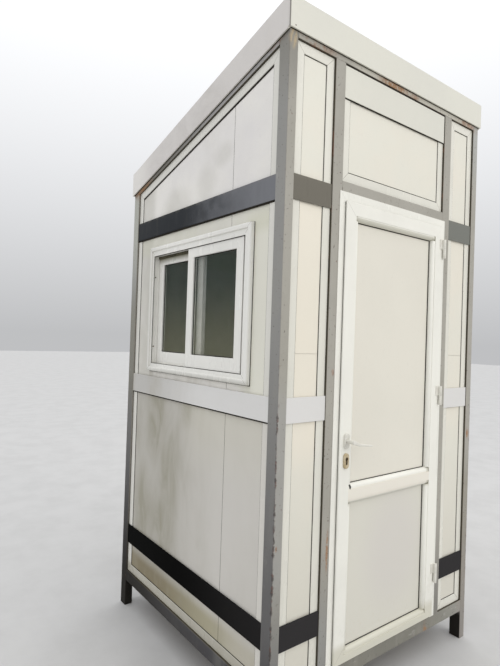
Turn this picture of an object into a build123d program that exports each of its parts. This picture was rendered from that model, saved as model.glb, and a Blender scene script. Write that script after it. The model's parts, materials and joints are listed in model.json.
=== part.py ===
from build123d import *
from math import cos, radians, sin, tan
import os

# Security guard booth: a welded frame of rectangular steel tube, filled with white
# panels in mitred trims, with a hinged door in front, a sliding window in each side
# and a single-pitch roof behind fascia boards.
# Millimetres. X to the right seen from the door side, Y to the back, Z up. The origin
# is on the ground, midway between the lever's tip and the back fascia.

# Steel frame
booth_depth = 1360
side_bay_width = 213
leg_height = 145
wall_height = 2533
beam_height = 60
tube_depth = 45
corner_post_depth = 60
door_post_width = 60
side_rail_height = 60
tube_wall = 3
tube_corner = 4
foot_plate = 5
roof_pitch = 14.9

# Doorway between the door posts, from the bottom beam up to the header
doorway_width = 744
doorway_height = 1979
header_height = 60

# Walls, as depths behind the steel's outer face
trim_recess = 10
trim_width = 43
trim_depth = 38
trim_chamfer = 2
panel_recess = 13
panel_thickness = 24
groove_depth = 10
sheet_gap = 1
side_sheet_seam = 363
front_sheet_rise = 1312
back_sheet_width = 900

# Bands of board across the wall bays: the gaps above and below the window, and the
# lowest band's height above the bottom beam
band_height = 100
band_thickness = 6
upper_band_gap = 64
mid_band_gap = 31
lower_band_rise = 164
transom_board_height = 141

# Fascia and roof
fascia_width = 125
fascia_thickness = 10
fascia_drop = 23
roof_thickness = 40
roof_rib_height = 22
roof_rib_base = 70
roof_rib_top = 36
roof_rib_pitch = 250
back_fascia_width = 80

# Floor
floor_thickness = 18
floor_gap = 6
bearer_width = 40

# Sliding window, from the steel's outer face of a side wall
window_front_edge = 196
window_width = 916
window_rise = 1172
window_height = 675
casing_width = 42
casing_head_width = 50
casing_lap = 20
casing_proud = 9
casing_round = 8
casing_ridge = 23
casing_step = 6
casing_step_round = 4
window_depth = 58
track_top_depth = 18
track_side_depth = 18
track_sill_depth = 6
track_width = 22
outer_track_recess = 1
inner_track_recess = 31
sash_width = 458
sash_lift = 14
sash_thickness = 20
sash_stile = 52
sash_sill_rail = 70
sash_edge_round = 2
front_sash_shift = 34
back_sash_shift = 14
pane_thickness = 5
pane_rebate = 8
outer_pane_recess = 11

# Door frame and leaf
frame_lap = 16
frame_flange = 3
frame_inner_depth = 53
jamb_width = 18
head_height = 25
frame_gap = 8
stop_width = 12
stop_thickness = 12
leaf_floor_gap = 13
leaf_face = 14
lip_thickness = 6
lip_overhang = 10
leaf_back = 36
leaf_edge_round = 3
stile_flat = 62
top_rail_flat = 55
bottom_rail_flat = 31
mid_rail_rise = 698
mid_rail_flat = 42
bead_width = 21
bead_depth = 22
bead_height = 20
bead_round = 16
bead_end_gap = 3
door_panel_thickness = 24
door_groove_depth = 12

# Hinges
hinge_rises = (227, 1112, 1846)
hinge_length = 93
knuckle_radius = 8
knuckle_gap = 0.5
pin_radius = 4
pin_clearance = 0.05
pin_length = 30
hinge_axis_out = 9
hinge_axis_side = 3
hinge_web = 5.5
hinge_foot_width = 24
hinge_foot_thickness = 3

# Lever, lock and their plates
lock_backset = 38
lever_rise = 949
keyhole_drop = 84
plate_width = 31
plate_height = 65
plate_thickness = 8
plate_chamfer = 2
neck_radius = 8
neck_clearance = 0.3
lever_stand = 42
lever_length = 118
lever_droop = 24
lever_root_height = 18
lever_bend_reach = 34
lever_bend_drop = 13
lever_bend_height = 11
lever_tip_height = 7
lever_thickness = 12
lever_chamfer = 2
spindle_side = 8
spindle_hole_radius = 7
cylinder_radius = 8.5
cylinder_slot = 10
cylinder_height = 33
cylinder_inset = 2

# Worked-out places
lever_reach = leaf_face + lever_stand + lever_thickness / 2
front = (lever_reach - booth_depth - fascia_thickness) / 2
back = front + booth_depth
door_half = doorway_width / 2
bay_inner = door_half + door_post_width
bay_outer = bay_inner + side_bay_width
half_width = bay_outer + tube_depth
booth_width = 2 * half_width
beam_top = leg_height + beam_height
rail_underside = beam_top + wall_height
slope = tan(radians(roof_pitch))
rail_rise = side_rail_height / cos(radians(roof_pitch))
roof_underside = rail_underside + rail_rise
cross_rail_height = rail_rise - slope * tube_depth
back_rail_underside = rail_underside - slope * (booth_depth - tube_depth)
header_underside = beam_top + doorway_height
header_top = header_underside + header_height
wall_back = trim_recess + trim_depth
window_bottom = beam_top + window_rise
upper_band_rise = window_rise + window_height + upper_band_gap
mid_band_rise = window_rise - mid_band_gap - band_height
jamb_half = door_half - jamb_width
jamb_head = header_underside - head_height
body_half = jamb_half - frame_gap
body_top = jamb_head - frame_gap
leaf_half = body_half + lip_overhang
leaf_top = body_top + lip_overhang
leaf_underside = beam_top + leaf_floor_gap
lock_x = -leaf_half + lock_backset
lever_height = beam_top + lever_rise
keyhole_height = lever_height - keyhole_drop

# Walls' outer planes on the steel's face, local x to the right and y up as seen from outside
front_face = Plane(origin=(0, front, 0), x_dir=(1, 0, 0), z_dir=(0, -1, 0))
back_face = Plane(origin=(0, back, 0), x_dir=(-1, 0, 0), z_dir=(0, 1, 0))
left_face = Plane(origin=(-half_width, front, 0), x_dir=(0, -1, 0), z_dir=(-1, 0, 0))
roof_plane = Plane(
    origin=(0, front, roof_underside),
    x_dir=(1, 0, 0),
    z_dir=(0, sin(radians(roof_pitch)), cos(radians(roof_pitch))),
)

from_bottom = (Align.CENTER, Align.MIN)
from_corner = (Align.MIN, Align.MIN)

os.makedirs("parts", exist_ok=True)


def keep(piece, name):
    piece.part.label = name
    export_step(piece.part, f"parts/{name}.step")


def keep_left_and_right(piece, name):
    # Two nodes, one for each side of the booth
    keep(piece, f"left_{name}")
    with BuildPart() as twin:
        mirror(piece.part, about=Plane.YZ)
    keep(twin, f"right_{name}")


def keep_pair(piece, name):
    # One node that holds the piece and its mirror image
    with BuildPart() as pair:
        add(piece.part)
        mirror(piece.part, about=Plane.YZ)
    keep(pair, name)


def tube(plane, x_size, y_size, length):
    # Hollow tube along the plane's normal, from its corner at the plane's origin
    with BuildPart() as bar:
        with BuildSketch(plane):
            with Locations((x_size / 2, y_size / 2)):
                RectangleRounded(x_size, y_size, tube_corner)
                Rectangle(x_size - 2 * tube_wall, y_size - 2 * tube_wall, mode=Mode.SUBTRACT)
        extrude(amount=length)
    return bar


# Corner posts, cut to the roof's slope at the top and closed by a plate at the foot
def corner_post(y_start):
    with BuildPart() as post:
        with BuildSketch(Plane.XY):
            with Locations((-half_width + tube_depth / 2, y_start + corner_post_depth / 2)):
                RectangleRounded(tube_depth, corner_post_depth, tube_corner)
        extrude(amount=roof_underside)
        with BuildSketch(Plane.XY.offset(foot_plate)):
            with Locations((-half_width + tube_depth / 2, y_start + corner_post_depth / 2)):
                Rectangle(tube_depth - 2 * tube_wall, corner_post_depth - 2 * tube_wall)
        extrude(amount=roof_underside, mode=Mode.SUBTRACT)
        split(bisect_by=roof_plane, keep=Keep.BOTTOM)
    return post


keep_pair(corner_post(front), "front_corner_posts")
keep_pair(corner_post(back - corner_post_depth), "back_corner_posts")

# Door posts stand on the front beam and carry the front rail
door_post = tube(
    Plane(origin=(-bay_inner, front, beam_top), z_dir=(0, 0, 1)),
    door_post_width,
    tube_depth,
    rail_underside - beam_top,
)
keep_pair(door_post, "door_posts")

# Rails, beams and header, each butted between its posts
along_x = {"x_dir": (0, 1, 0), "z_dir": (1, 0, 0)}
side_length = booth_depth - 2 * corner_post_depth
keep(
    tube(
        Plane(origin=(-bay_outer, front, rail_underside), **along_x),
        tube_depth,
        cross_rail_height,
        2 * bay_outer,
    ),
    "front_top_rail",
)
keep(
    tube(
        Plane(origin=(-bay_outer, back - tube_depth, back_rail_underside), **along_x),
        tube_depth,
        cross_rail_height,
        2 * bay_outer,
    ),
    "back_top_rail",
)
keep(
    tube(Plane(origin=(-bay_outer, front, leg_height), **along_x), tube_depth, beam_height, 2 * bay_outer),
    "front_bottom_beam",
)
keep(
    tube(
        Plane(origin=(-bay_outer, back - tube_depth, leg_height), **along_x),
        tube_depth,
        beam_height,
        2 * bay_outer,
    ),
    "back_bottom_beam",
)
keep(
    tube(
        Plane(origin=(-door_half, front, header_underside), **along_x),
        tube_depth,
        header_height,
        doorway_width,
    ),
    "door_header",
)
side_beam = tube(
    Plane(
        origin=(-half_width + tube_depth, front + corner_post_depth, leg_height),
        x_dir=(-1, 0, 0),
        z_dir=(0, 1, 0),
    ),
    tube_depth,
    beam_height,
    side_length,
)
keep_pair(side_beam, "side_bottom_beams")


def rail_line(distance):
    # Height of the side rail's underside, at a distance behind the front face
    return rail_underside - slope * distance


def side_outline(bottom, top_offset, ends_out=0):
    # Side wall outline between the posts, in left_face coordinates, under the sloping rail
    near = corner_post_depth - ends_out
    far = booth_depth - corner_post_depth + ends_out
    return [
        (-far, bottom(far)),
        (-near, bottom(near)),
        (-near, rail_line(near) + top_offset),
        (-far, rail_line(far) + top_offset),
    ]


wall_rise = tube_wall / cos(radians(roof_pitch))
with BuildPart() as side_rail:
    with BuildSketch(left_face):
        Polygon(*side_outline(rail_line, rail_rise), align=None)
    extrude(amount=-tube_depth)
    sloping = side_rail.edges().filter_by(Axis((0, 0, 0), (0, 1, -slope)))
    fillet(sloping, tube_corner)
    with BuildSketch(left_face.offset(-tube_wall)):
        Polygon(
            *side_outline(lambda d: rail_line(d) + wall_rise, rail_rise - wall_rise, tube_wall),
            align=None,
        )
    extrude(amount=2 * tube_wall - tube_depth, mode=Mode.SUBTRACT)
keep_pair(side_rail, "side_top_rails")

# Floor bearers between the side beams, and the floor board that they carry
bearer_lines = [
    front + corner_post_depth,
    front + (booth_depth - bearer_width) / 2,
    back - corner_post_depth - bearer_width,
]
with BuildPart() as floor_bearers:
    for line in bearer_lines:
        with BuildSketch(Plane(origin=(-bay_outer, line, leg_height), **along_x)):
            Rectangle(bearer_width, beam_height, align=from_corner)
            with Locations((tube_wall, tube_wall)):
                Rectangle(
                    bearer_width - 2 * tube_wall,
                    beam_height - 2 * tube_wall,
                    align=from_corner,
                    mode=Mode.SUBTRACT,
                )
        extrude(amount=2 * bay_outer)
keep(floor_bearers, "floor_bearers")

floor_inset = wall_back + floor_gap
with BuildPart() as floor_board:
    with BuildSketch(Plane.XY.offset(beam_top)):
        with Locations((0, (front + back) / 2)):
            Rectangle(booth_width - 2 * floor_inset, booth_depth - 2 * floor_inset)
    extrude(amount=floor_thickness)
keep(floor_board, "floor_board")


# Wall bays: a mitred trim with a groove that holds the panel's edge
def wall_trim(plane, outline):
    with BuildPart() as trim:
        with BuildSketch(plane.offset(-trim_recess)):
            Polygon(*outline, align=None)
            offset(amount=-trim_width, kind=Kind.INTERSECTION, mode=Mode.SUBTRACT)
        extrude(amount=-trim_depth)
        face = trim.faces().sort_by(Axis((0, 0, 0), plane.z_dir))[-1]
        chamfer(face.inner_wires()[0].edges(), trim_chamfer)
        with BuildSketch(plane.offset(-panel_recess)):
            Polygon(*outline, align=None)
            offset(amount=groove_depth - trim_width, kind=Kind.INTERSECTION)
        extrude(amount=-panel_thickness, mode=Mode.SUBTRACT)
    return trim


def wall_panel(plane, outline, seam=None, level_seam=None, hole=None):
    # seam is the local x of an upright joint between two sheets, level_seam the height of
    # a level one; hole is a window's lower left corner and size
    with BuildPart() as panel:
        with BuildSketch(plane.offset(-panel_recess)):
            Polygon(*outline, align=None)
            offset(amount=groove_depth - trim_width, kind=Kind.INTERSECTION)
            if seam is not None:
                with Locations((seam, 0)):
                    Rectangle(sheet_gap, roof_underside, align=from_bottom, mode=Mode.SUBTRACT)
            if level_seam is not None:
                with Locations((0, level_seam)):
                    Rectangle(booth_width * 2, sheet_gap, mode=Mode.SUBTRACT)
            if hole is not None:
                with Locations(hole[0]):
                    Rectangle(*hole[1], align=from_corner, mode=Mode.SUBTRACT)
        extrude(amount=-panel_thickness)
    return panel


def upright_outline(left, right, bottom, top):
    return [(left, bottom), (right, bottom), (right, top), (left, top)]


front_bay = upright_outline(-bay_outer, -bay_inner, beam_top, rail_underside)
keep_pair(wall_trim(front_face, front_bay), "door_side_trims")
level_seam = beam_top + front_sheet_rise
keep_pair(wall_panel(front_face, front_bay, level_seam=level_seam), "door_side_panels")

transom_bay = upright_outline(-door_half, door_half, header_top, rail_underside)
keep(wall_trim(front_face, transom_bay), "transom_trim")
keep(wall_panel(front_face, transom_bay), "transom_panel")
with BuildPart() as transom_board:
    with BuildSketch(front_face.offset(-trim_recess)):
        with Locations((0, rail_underside - transom_board_height)):
            Rectangle(doorway_width, transom_board_height, align=from_bottom)
    extrude(amount=band_thickness)
keep(transom_board, "transom_board")

back_bay = upright_outline(-bay_outer, bay_outer, beam_top, back_rail_underside)
back_seam = -bay_outer + trim_width + back_sheet_width
keep(wall_trim(back_face, back_bay), "back_wall_trim")
keep(wall_panel(back_face, back_bay, seam=back_seam), "back_wall_panel")

window_body_corner = (-(window_front_edge + window_width - casing_lap), window_bottom + casing_lap)
window_body_size = (window_width - 2 * casing_lap, window_height - 2 * casing_lap)
side_bay = side_outline(lambda distance: beam_top, 0)
keep_pair(wall_trim(left_face, side_bay), "side_wall_trims")
side_panel = wall_panel(
    left_face,
    side_bay,
    seam=-side_sheet_seam,
    hole=(window_body_corner, window_body_size),
)
keep_pair(side_panel, "side_wall_panels")


# Bands: boards on the trims' face, one in each bay, at three heights
def band_row(rise, name):
    bottom = beam_top + rise
    with BuildPart() as row:
        with BuildSketch(front_face.offset(-trim_recess)):
            for side in (-1, 1):
                with Locations((side * (bay_inner + bay_outer) / 2, bottom)):
                    Rectangle(bay_outer - bay_inner, band_height, align=from_bottom)
        extrude(amount=band_thickness)
        with BuildSketch(back_face.offset(-trim_recess)):
            with Locations((0, bottom)):
                Rectangle(2 * bay_outer, band_height, align=from_bottom)
        extrude(amount=band_thickness)
        with BuildSketch(left_face.offset(-trim_recess)):
            with Locations((-booth_depth / 2, bottom)):
                Rectangle(side_length, band_height, align=from_bottom)
        left_band = extrude(amount=band_thickness)
        mirror(left_band, about=Plane.YZ)
    keep(row, name)


band_row(upper_band_rise, "upper_dark_bands")
band_row(mid_band_rise, "mid_white_bands")
band_row(lower_band_rise, "lower_dark_bands")

# Fascia boards on the rails' outer faces; the side boards follow the slope and close
# the ends of the front and back boards
fascia_rise = fascia_width / cos(radians(roof_pitch))
with BuildPart() as front_fascia:
    with BuildSketch(front_face):
        with Locations((0, rail_underside + fascia_drop)):
            Rectangle(booth_width + 2 * fascia_thickness, fascia_width, align=from_bottom)
    extrude(amount=fascia_thickness)
keep(front_fascia, "front_fascia")

side_fascia_foot = rail_underside + fascia_drop + fascia_width - fascia_rise
fascia_end = booth_depth + fascia_thickness
fascia_fall = slope * fascia_end
with BuildPart() as side_fascia:
    with BuildSketch(left_face):
        Polygon(
            (0, side_fascia_foot),
            (0, side_fascia_foot + fascia_rise),
            (-fascia_end, side_fascia_foot + fascia_rise - fascia_fall),
            (-fascia_end, side_fascia_foot - fascia_fall),
            align=None,
        )
    extrude(amount=fascia_thickness)
keep_pair(side_fascia, "side_fascias")

with BuildPart() as back_fascia:
    with BuildSketch(back_face):
        with Locations((0, side_fascia_foot - fascia_fall)):
            Rectangle(booth_width, back_fascia_width, align=from_bottom)
    extrude(amount=fascia_thickness)
keep(back_fascia, "back_fascia")

# Roof sheet with upstanding ribs that run down the slope
rib_count = int((booth_width - roof_rib_base) / roof_rib_pitch) + 1
with BuildPart() as roof_sheet:
    with BuildSketch(Plane(origin=(0, front, roof_underside), x_dir=(1, 0, 0), z_dir=(0, -1, 0))):
        Rectangle(booth_width, roof_thickness, align=from_bottom)
        with Locations((0, roof_thickness)):
            with GridLocations(roof_rib_pitch, 1, rib_count, 1):
                Polygon(
                    (-roof_rib_base / 2, 0),
                    (roof_rib_base / 2, 0),
                    (roof_rib_top / 2, roof_rib_height),
                    (-roof_rib_top / 2, roof_rib_height),
                    align=None,
                )
    extrude(amount=booth_depth / cos(radians(roof_pitch)), dir=(0, 1, -slope))
keep(roof_sheet, "roof_sheet")

# Sliding window: a ridged casing with two tracks, two sashes and their panes
window_left = -(window_front_edge + window_width)
clear_corner = (window_left + casing_width, window_bottom + casing_width)
clear_size = (window_width - 2 * casing_width, window_height - casing_width - casing_head_width)

with BuildPart() as window_frame:
    with BuildSketch(left_face.offset(-panel_recess)):
        with Locations((window_left, window_bottom)):
            Rectangle(window_width, window_height, align=from_corner)
    extrude(amount=panel_recess + casing_proud)
    rim = window_frame.faces().sort_by(Axis.X)[0]
    fillet(rim.edges(), casing_round)
    with BuildSketch(left_face.offset(casing_proud)):
        with Locations((window_left + casing_ridge, window_bottom + casing_ridge)):
            Rectangle(
                window_width - 2 * casing_ridge,
                window_height - 2 * casing_ridge,
                align=from_corner,
            )
    extrude(amount=-casing_step, mode=Mode.SUBTRACT)
    ridge = window_frame.faces().sort_by(Axis.X)[0]
    fillet(ridge.inner_wires()[0].edges(), casing_step_round)
    with BuildSketch(left_face.offset(-panel_recess)):
        with Locations(window_body_corner):
            Rectangle(*window_body_size, align=from_corner)
    extrude(amount=panel_recess - window_depth)
    with BuildSketch(left_face.offset(casing_proud)):
        with Locations(clear_corner):
            Rectangle(*clear_size, align=from_corner)
    extrude(amount=-(casing_proud + window_depth), mode=Mode.SUBTRACT)
    for recess in (outer_track_recess, inner_track_recess):
        with BuildSketch(left_face.offset(-recess)):
            with Locations((clear_corner[0] - track_side_depth, clear_corner[1] - track_sill_depth)):
                Rectangle(
                    clear_size[0] + 2 * track_side_depth,
                    clear_size[1] + track_sill_depth + track_top_depth,
                    align=from_corner,
                )
        extrude(amount=-track_width, mode=Mode.SUBTRACT)
keep_left_and_right(window_frame, "window_frame")

track_left = clear_corner[0] - track_side_depth
track_right = track_left + clear_size[0] + 2 * track_side_depth
sash_bottom = clear_corner[1] - track_sill_depth
sash_slack = (track_width - sash_thickness) / 2
sash_height = clear_size[1] + track_sill_depth + track_top_depth - sash_lift
pane_size = (
    sash_width - 2 * sash_stile + 2 * pane_rebate,
    sash_height - sash_stile - sash_sill_rail + 2 * pane_rebate,
)


def sash(left, track_recess):
    with BuildPart() as frame:
        with BuildSketch(left_face.offset(-(track_recess + sash_slack))):
            with Locations((left, sash_bottom)):
                Rectangle(sash_width, sash_height, align=from_corner)
            with Locations((left + sash_stile, sash_bottom + sash_sill_rail)):
                Rectangle(
                    sash_width - 2 * sash_stile,
                    sash_height - sash_stile - sash_sill_rail,
                    align=from_corner,
                    mode=Mode.SUBTRACT,
                )
        extrude(amount=-sash_thickness)
        outer = frame.faces().sort_by(Axis.X)[0]
        chamfer(outer.inner_wires()[0].edges(), sash_edge_round)
        with BuildSketch(left_face.offset(-(track_recess + outer_pane_recess))):
            with Locations((left + sash_stile - pane_rebate, sash_bottom + sash_sill_rail - pane_rebate)):
                Rectangle(*pane_size, align=from_corner)
        extrude(amount=-pane_thickness, mode=Mode.SUBTRACT)
    return frame


outer_sash_left = track_right - front_sash_shift - sash_width
inner_sash_left = track_left + back_sash_shift
keep_left_and_right(sash(outer_sash_left, outer_track_recess), "window_outer_sash")
keep_left_and_right(sash(inner_sash_left, inner_track_recess), "window_inner_sash")

with BuildPart() as window_panes:
    for left, recess in ((outer_sash_left, outer_track_recess), (inner_sash_left, inner_track_recess)):
        with BuildSketch(left_face.offset(-(recess + outer_pane_recess))):
            with Locations((left + sash_stile - pane_rebate, sash_bottom + sash_sill_rail - pane_rebate)):
                Rectangle(*pane_size, align=from_corner)
        extrude(amount=-pane_thickness)
keep_pair(window_panes, "window_panes")

# Door frame: a flange over the posts and header, a jamb inside them and a stop behind the leaf
stop_half = jamb_half - stop_width
stop_head = jamb_head - stop_width
stop_recess = frame_inner_depth - stop_thickness
with BuildPart() as door_frame:
    with BuildSketch(front_face):
        with Locations((0, beam_top)):
            Rectangle(
                doorway_width + 2 * frame_lap,
                header_underside + frame_lap - beam_top,
                align=from_bottom,
            )
            Rectangle(2 * jamb_half, jamb_head - beam_top, align=from_bottom, mode=Mode.SUBTRACT)
    extrude(amount=frame_flange)
    with BuildSketch(front_face):
        with Locations((0, beam_top)):
            Rectangle(doorway_width, header_underside - beam_top, align=from_bottom)
            Rectangle(2 * jamb_half, jamb_head - beam_top, align=from_bottom, mode=Mode.SUBTRACT)
    extrude(amount=-frame_inner_depth)
    with BuildSketch(front_face.offset(-stop_recess)):
        with Locations((0, beam_top)):
            Rectangle(2 * jamb_half, jamb_head - beam_top, align=from_bottom)
            Rectangle(2 * stop_half, stop_head - beam_top, align=from_bottom, mode=Mode.SUBTRACT)
    extrude(amount=-stop_thickness)
keep(door_frame, "door_frame")

# Door leaf: a lipped frame with rounded beads round two openings
opening_half = leaf_half - stile_flat - bead_width
mid_rail_bottom = beam_top + mid_rail_rise
upper_opening = (mid_rail_bottom + mid_rail_flat + bead_width, leaf_top - top_rail_flat - bead_width)
lower_opening = (leaf_underside + bottom_rail_flat + bead_width, mid_rail_bottom - bead_width)
openings = (lower_opening, upper_opening)
panel_front = bead_depth - leaf_face


def opening_outline(bottom, top, grow):
    with Locations((0, bottom - grow)):
        Rectangle(2 * (opening_half + grow), top - bottom + 2 * grow, align=from_bottom)


def lock_profile():
    # Round barrel over a narrower tail, around the keyhole's centre
    with Locations((lock_x, keyhole_height + cylinder_height / 2 - cylinder_radius)):
        Circle(cylinder_radius)
    with Locations((lock_x, keyhole_height - cylinder_radius / 2)):
        SlotOverall(cylinder_height - cylinder_radius, cylinder_slot, rotation=90)


def bead(middle, size, inward):
    # Bar on the rebate's floor, rounded on the side of the opening
    with BuildPart() as bar:
        with BuildSketch(front_face.offset(-panel_front)):
            with Locations(middle):
                Rectangle(*size)
        extrude(amount=bead_height)
        face = bar.faces().sort_by(Axis.Y)[0]
        fillet(face.edges().sort_by(Axis((0, 0, 0), inward))[-1], bead_round)
    return bar


# The level beads run past the ends of the upright ones
beads = []
for bottom, top in openings:
    for height, inward in ((bottom - bead_width / 2, (0, 0, 1)), (top + bead_width / 2, (0, 0, -1))):
        level_size = (2 * (opening_half + bead_width - bead_end_gap), bead_width)
        beads.append(bead((0, height), level_size, inward))
    for side in (-1, 1):
        middle = (side * (opening_half + bead_width / 2), (bottom + top) / 2)
        beads.append(bead(middle, (bead_width, top - bottom), (-side, 0, 0)))

with BuildPart() as door_leaf:
    with BuildSketch(front_face.offset(leaf_face - lip_thickness)):
        with Locations((0, leaf_underside)):
            Rectangle(2 * leaf_half, leaf_top - leaf_underside, align=from_bottom)
    extrude(amount=lip_thickness)
    rim = door_leaf.faces().sort_by(Axis.Y)[0]
    fillet(rim.edges().group_by(Axis.Z)[-1] + rim.edges().filter_by(Axis.Z), leaf_edge_round)
    with BuildSketch(front_face.offset(leaf_face - lip_thickness)):
        with Locations((0, leaf_underside)):
            Rectangle(2 * body_half, body_top - leaf_underside, align=from_bottom)
    extrude(amount=lip_thickness - leaf_face - leaf_back)
    for bottom, top in openings:
        with BuildSketch(front_face.offset(leaf_face)):
            opening_outline(bottom, top, bead_width)
        extrude(amount=-bead_depth, mode=Mode.SUBTRACT)
        with BuildSketch(front_face.offset(-panel_front)):
            opening_outline(bottom, top, 0)
        extrude(amount=panel_front - leaf_back, mode=Mode.SUBTRACT)
        with BuildSketch(front_face.offset(-panel_front)):
            opening_outline(bottom, top, door_groove_depth)
        extrude(amount=-door_panel_thickness, mode=Mode.SUBTRACT)
    for bar in beads:
        add(bar.part)
    with BuildSketch(front_face.offset(leaf_face)):
        with Locations((lock_x, lever_height)):
            Circle(spindle_hole_radius)
        lock_profile()
    extrude(amount=-(leaf_face + leaf_back), mode=Mode.SUBTRACT)
keep(door_leaf, "door_leaf")

with BuildPart() as door_panels:
    for bottom, top in openings:
        with BuildSketch(front_face.offset(-panel_front)):
            opening_outline(bottom, top, door_groove_depth)
        extrude(amount=-door_panel_thickness)
keep(door_panels, "door_panels")

# Hinges: lower knuckle with pin and foot on the frame, upper knuckle on the leaf
hinge_x = leaf_half + hinge_axis_side
hinge_y = front - leaf_face - hinge_axis_out
half_hinge = (hinge_length - knuckle_gap) / 2
hinge_heights = [beam_top + rise for rise in hinge_rises]
frame_foot_y = front - frame_flange
leaf_foot_y = front - leaf_face


def hinge_section(foot_side, foot_y, foot_start):
    # Knuckle, web back to the foot's plane, and foot
    with Locations((hinge_x, hinge_y)):
        Circle(knuckle_radius)
    web_x = hinge_x + foot_side * (knuckle_radius - hinge_web / 2)
    with Locations((web_x, hinge_y)):
        Rectangle(hinge_web, foot_y - hinge_y, align=from_bottom)
    foot_middle = hinge_x + foot_side * (foot_start + hinge_foot_width / 2)
    with Locations((foot_middle, foot_y - hinge_foot_thickness)):
        Rectangle(hinge_foot_width, hinge_foot_thickness, align=from_bottom)


with BuildPart() as hinge_frame_halves:
    for height in hinge_heights:
        with BuildSketch(Plane.XY.offset(height - hinge_length / 2)):
            hinge_section(1, frame_foot_y, knuckle_radius - hinge_web)
        extrude(amount=half_hinge)
        with BuildSketch(Plane.XY.offset(height - knuckle_gap / 2)):
            with Locations((hinge_x, hinge_y)):
                Circle(pin_radius)
        extrude(amount=pin_length)
keep(hinge_frame_halves, "hinge_frame_halves")

with BuildPart() as hinge_leaf_halves:
    for height in hinge_heights:
        with BuildSketch(Plane.XY.offset(height + knuckle_gap / 2)):
            hinge_section(-1, leaf_foot_y, knuckle_radius - hinge_web)
        extrude(amount=half_hinge)
        with BuildSketch(Plane.XY.offset(height + knuckle_gap / 2)):
            with Locations((hinge_x, hinge_y)):
                Circle(pin_radius + pin_clearance)
        extrude(amount=pin_length, mode=Mode.SUBTRACT)
keep(hinge_leaf_halves, "hinge_leaf_halves")


# Oval plates, outside and inside: one pair round the levers' necks, one pair round the lock
leaf_front_plane = front_face.offset(leaf_face)
leaf_back_plane = Plane(origin=(0, front + leaf_back, 0), x_dir=(-1, 0, 0), z_dir=(0, 1, 0))


def oval_blank(plane, local_x, height):
    with BuildPart() as blank:
        with BuildSketch(plane):
            with Locations((local_x, height)):
                SlotOverall(plate_height, plate_width, rotation=90)
        extrude(amount=plate_thickness)
        outer = blank.faces().sort_by(Axis((0, 0, 0), plane.z_dir))[-1]
        chamfer(outer.edges(), plate_chamfer)
    return blank


lever_blanks = [
    oval_blank(leaf_front_plane, lock_x, lever_height),
    oval_blank(leaf_back_plane, -lock_x, lever_height),
]
with BuildPart() as lever_plates:
    for blank in lever_blanks:
        add(blank.part)
    with BuildSketch(leaf_front_plane.offset(plate_thickness)):
        with Locations((lock_x, lever_height)):
            Circle(neck_radius + neck_clearance)
    extrude(amount=-(leaf_face + leaf_back + 2 * plate_thickness), mode=Mode.SUBTRACT)
keep(lever_plates, "lever_plates")

keyhole_blanks = [
    oval_blank(leaf_front_plane, lock_x, keyhole_height),
    oval_blank(leaf_back_plane, -lock_x, keyhole_height),
]
with BuildPart() as keyhole_plates:
    for blank in keyhole_blanks:
        add(blank.part)
    with BuildSketch(leaf_front_plane.offset(plate_thickness)):
        lock_profile()
    extrude(amount=-(leaf_face + leaf_back + 2 * plate_thickness), mode=Mode.SUBTRACT)
keep(keyhole_plates, "keyhole_plates")

with BuildPart() as lock_cylinder:
    with BuildSketch(leaf_front_plane.offset(plate_thickness - cylinder_inset)):
        lock_profile()
    extrude(amount=-(leaf_face + leaf_back + 2 * (plate_thickness - cylinder_inset)))
keep(lock_cylinder, "lock_cylinder")


# Lever: a round neck and a cranked grip that thins and droops towards its end
def lever(face_y, outward, name):
    # outward is -1 on the leaf's front and 1 on its back
    grip_y = face_y + outward * lever_stand
    grip_plane = Plane(origin=(lock_x, grip_y, lever_height), x_dir=(1, 0, 0), z_dir=(0, -1, 0))
    tip_radius = lever_tip_height / 2
    root = ((0, 0), lever_root_height / 2)
    bend = ((lever_bend_reach, -lever_bend_drop), lever_bend_height / 2)
    tip = ((lever_length - tip_radius, -lever_droop), tip_radius)
    with BuildPart() as handle:
        for start, end in ((root, bend), (bend, tip)):
            with BuildSketch(grip_plane):
                for centre, radius in (start, end):
                    with Locations(centre):
                        Circle(radius)
                make_hull()
            extrude(amount=lever_thickness / 2, both=True)
        flat_faces = handle.faces().filter_by(Axis.Y)
        chamfer(flat_faces.edges(), lever_chamfer)
        neck_start = (lock_x, face_y + outward * neck_clearance, lever_height)
        with BuildSketch(Plane(origin=neck_start, x_dir=(1, 0, 0), z_dir=(0, outward, 0))):
            Circle(neck_radius)
        extrude(amount=lever_stand - neck_clearance)
    keep(handle, name)


lever(front - leaf_face, -1, "outside_lever")
lever(front + leaf_back, 1, "inside_lever")

with BuildPart() as lever_spindle:
    with BuildSketch(leaf_front_plane.offset(neck_clearance)):
        with Locations((lock_x, lever_height)):
            Rectangle(spindle_side, spindle_side)
    extrude(amount=-(leaf_face + leaf_back + 2 * neck_clearance))
keep(lever_spindle, "lever_spindle")
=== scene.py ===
import json
import math
import random

import bmesh
import bpy
from mathutils import Matrix, Vector


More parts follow.
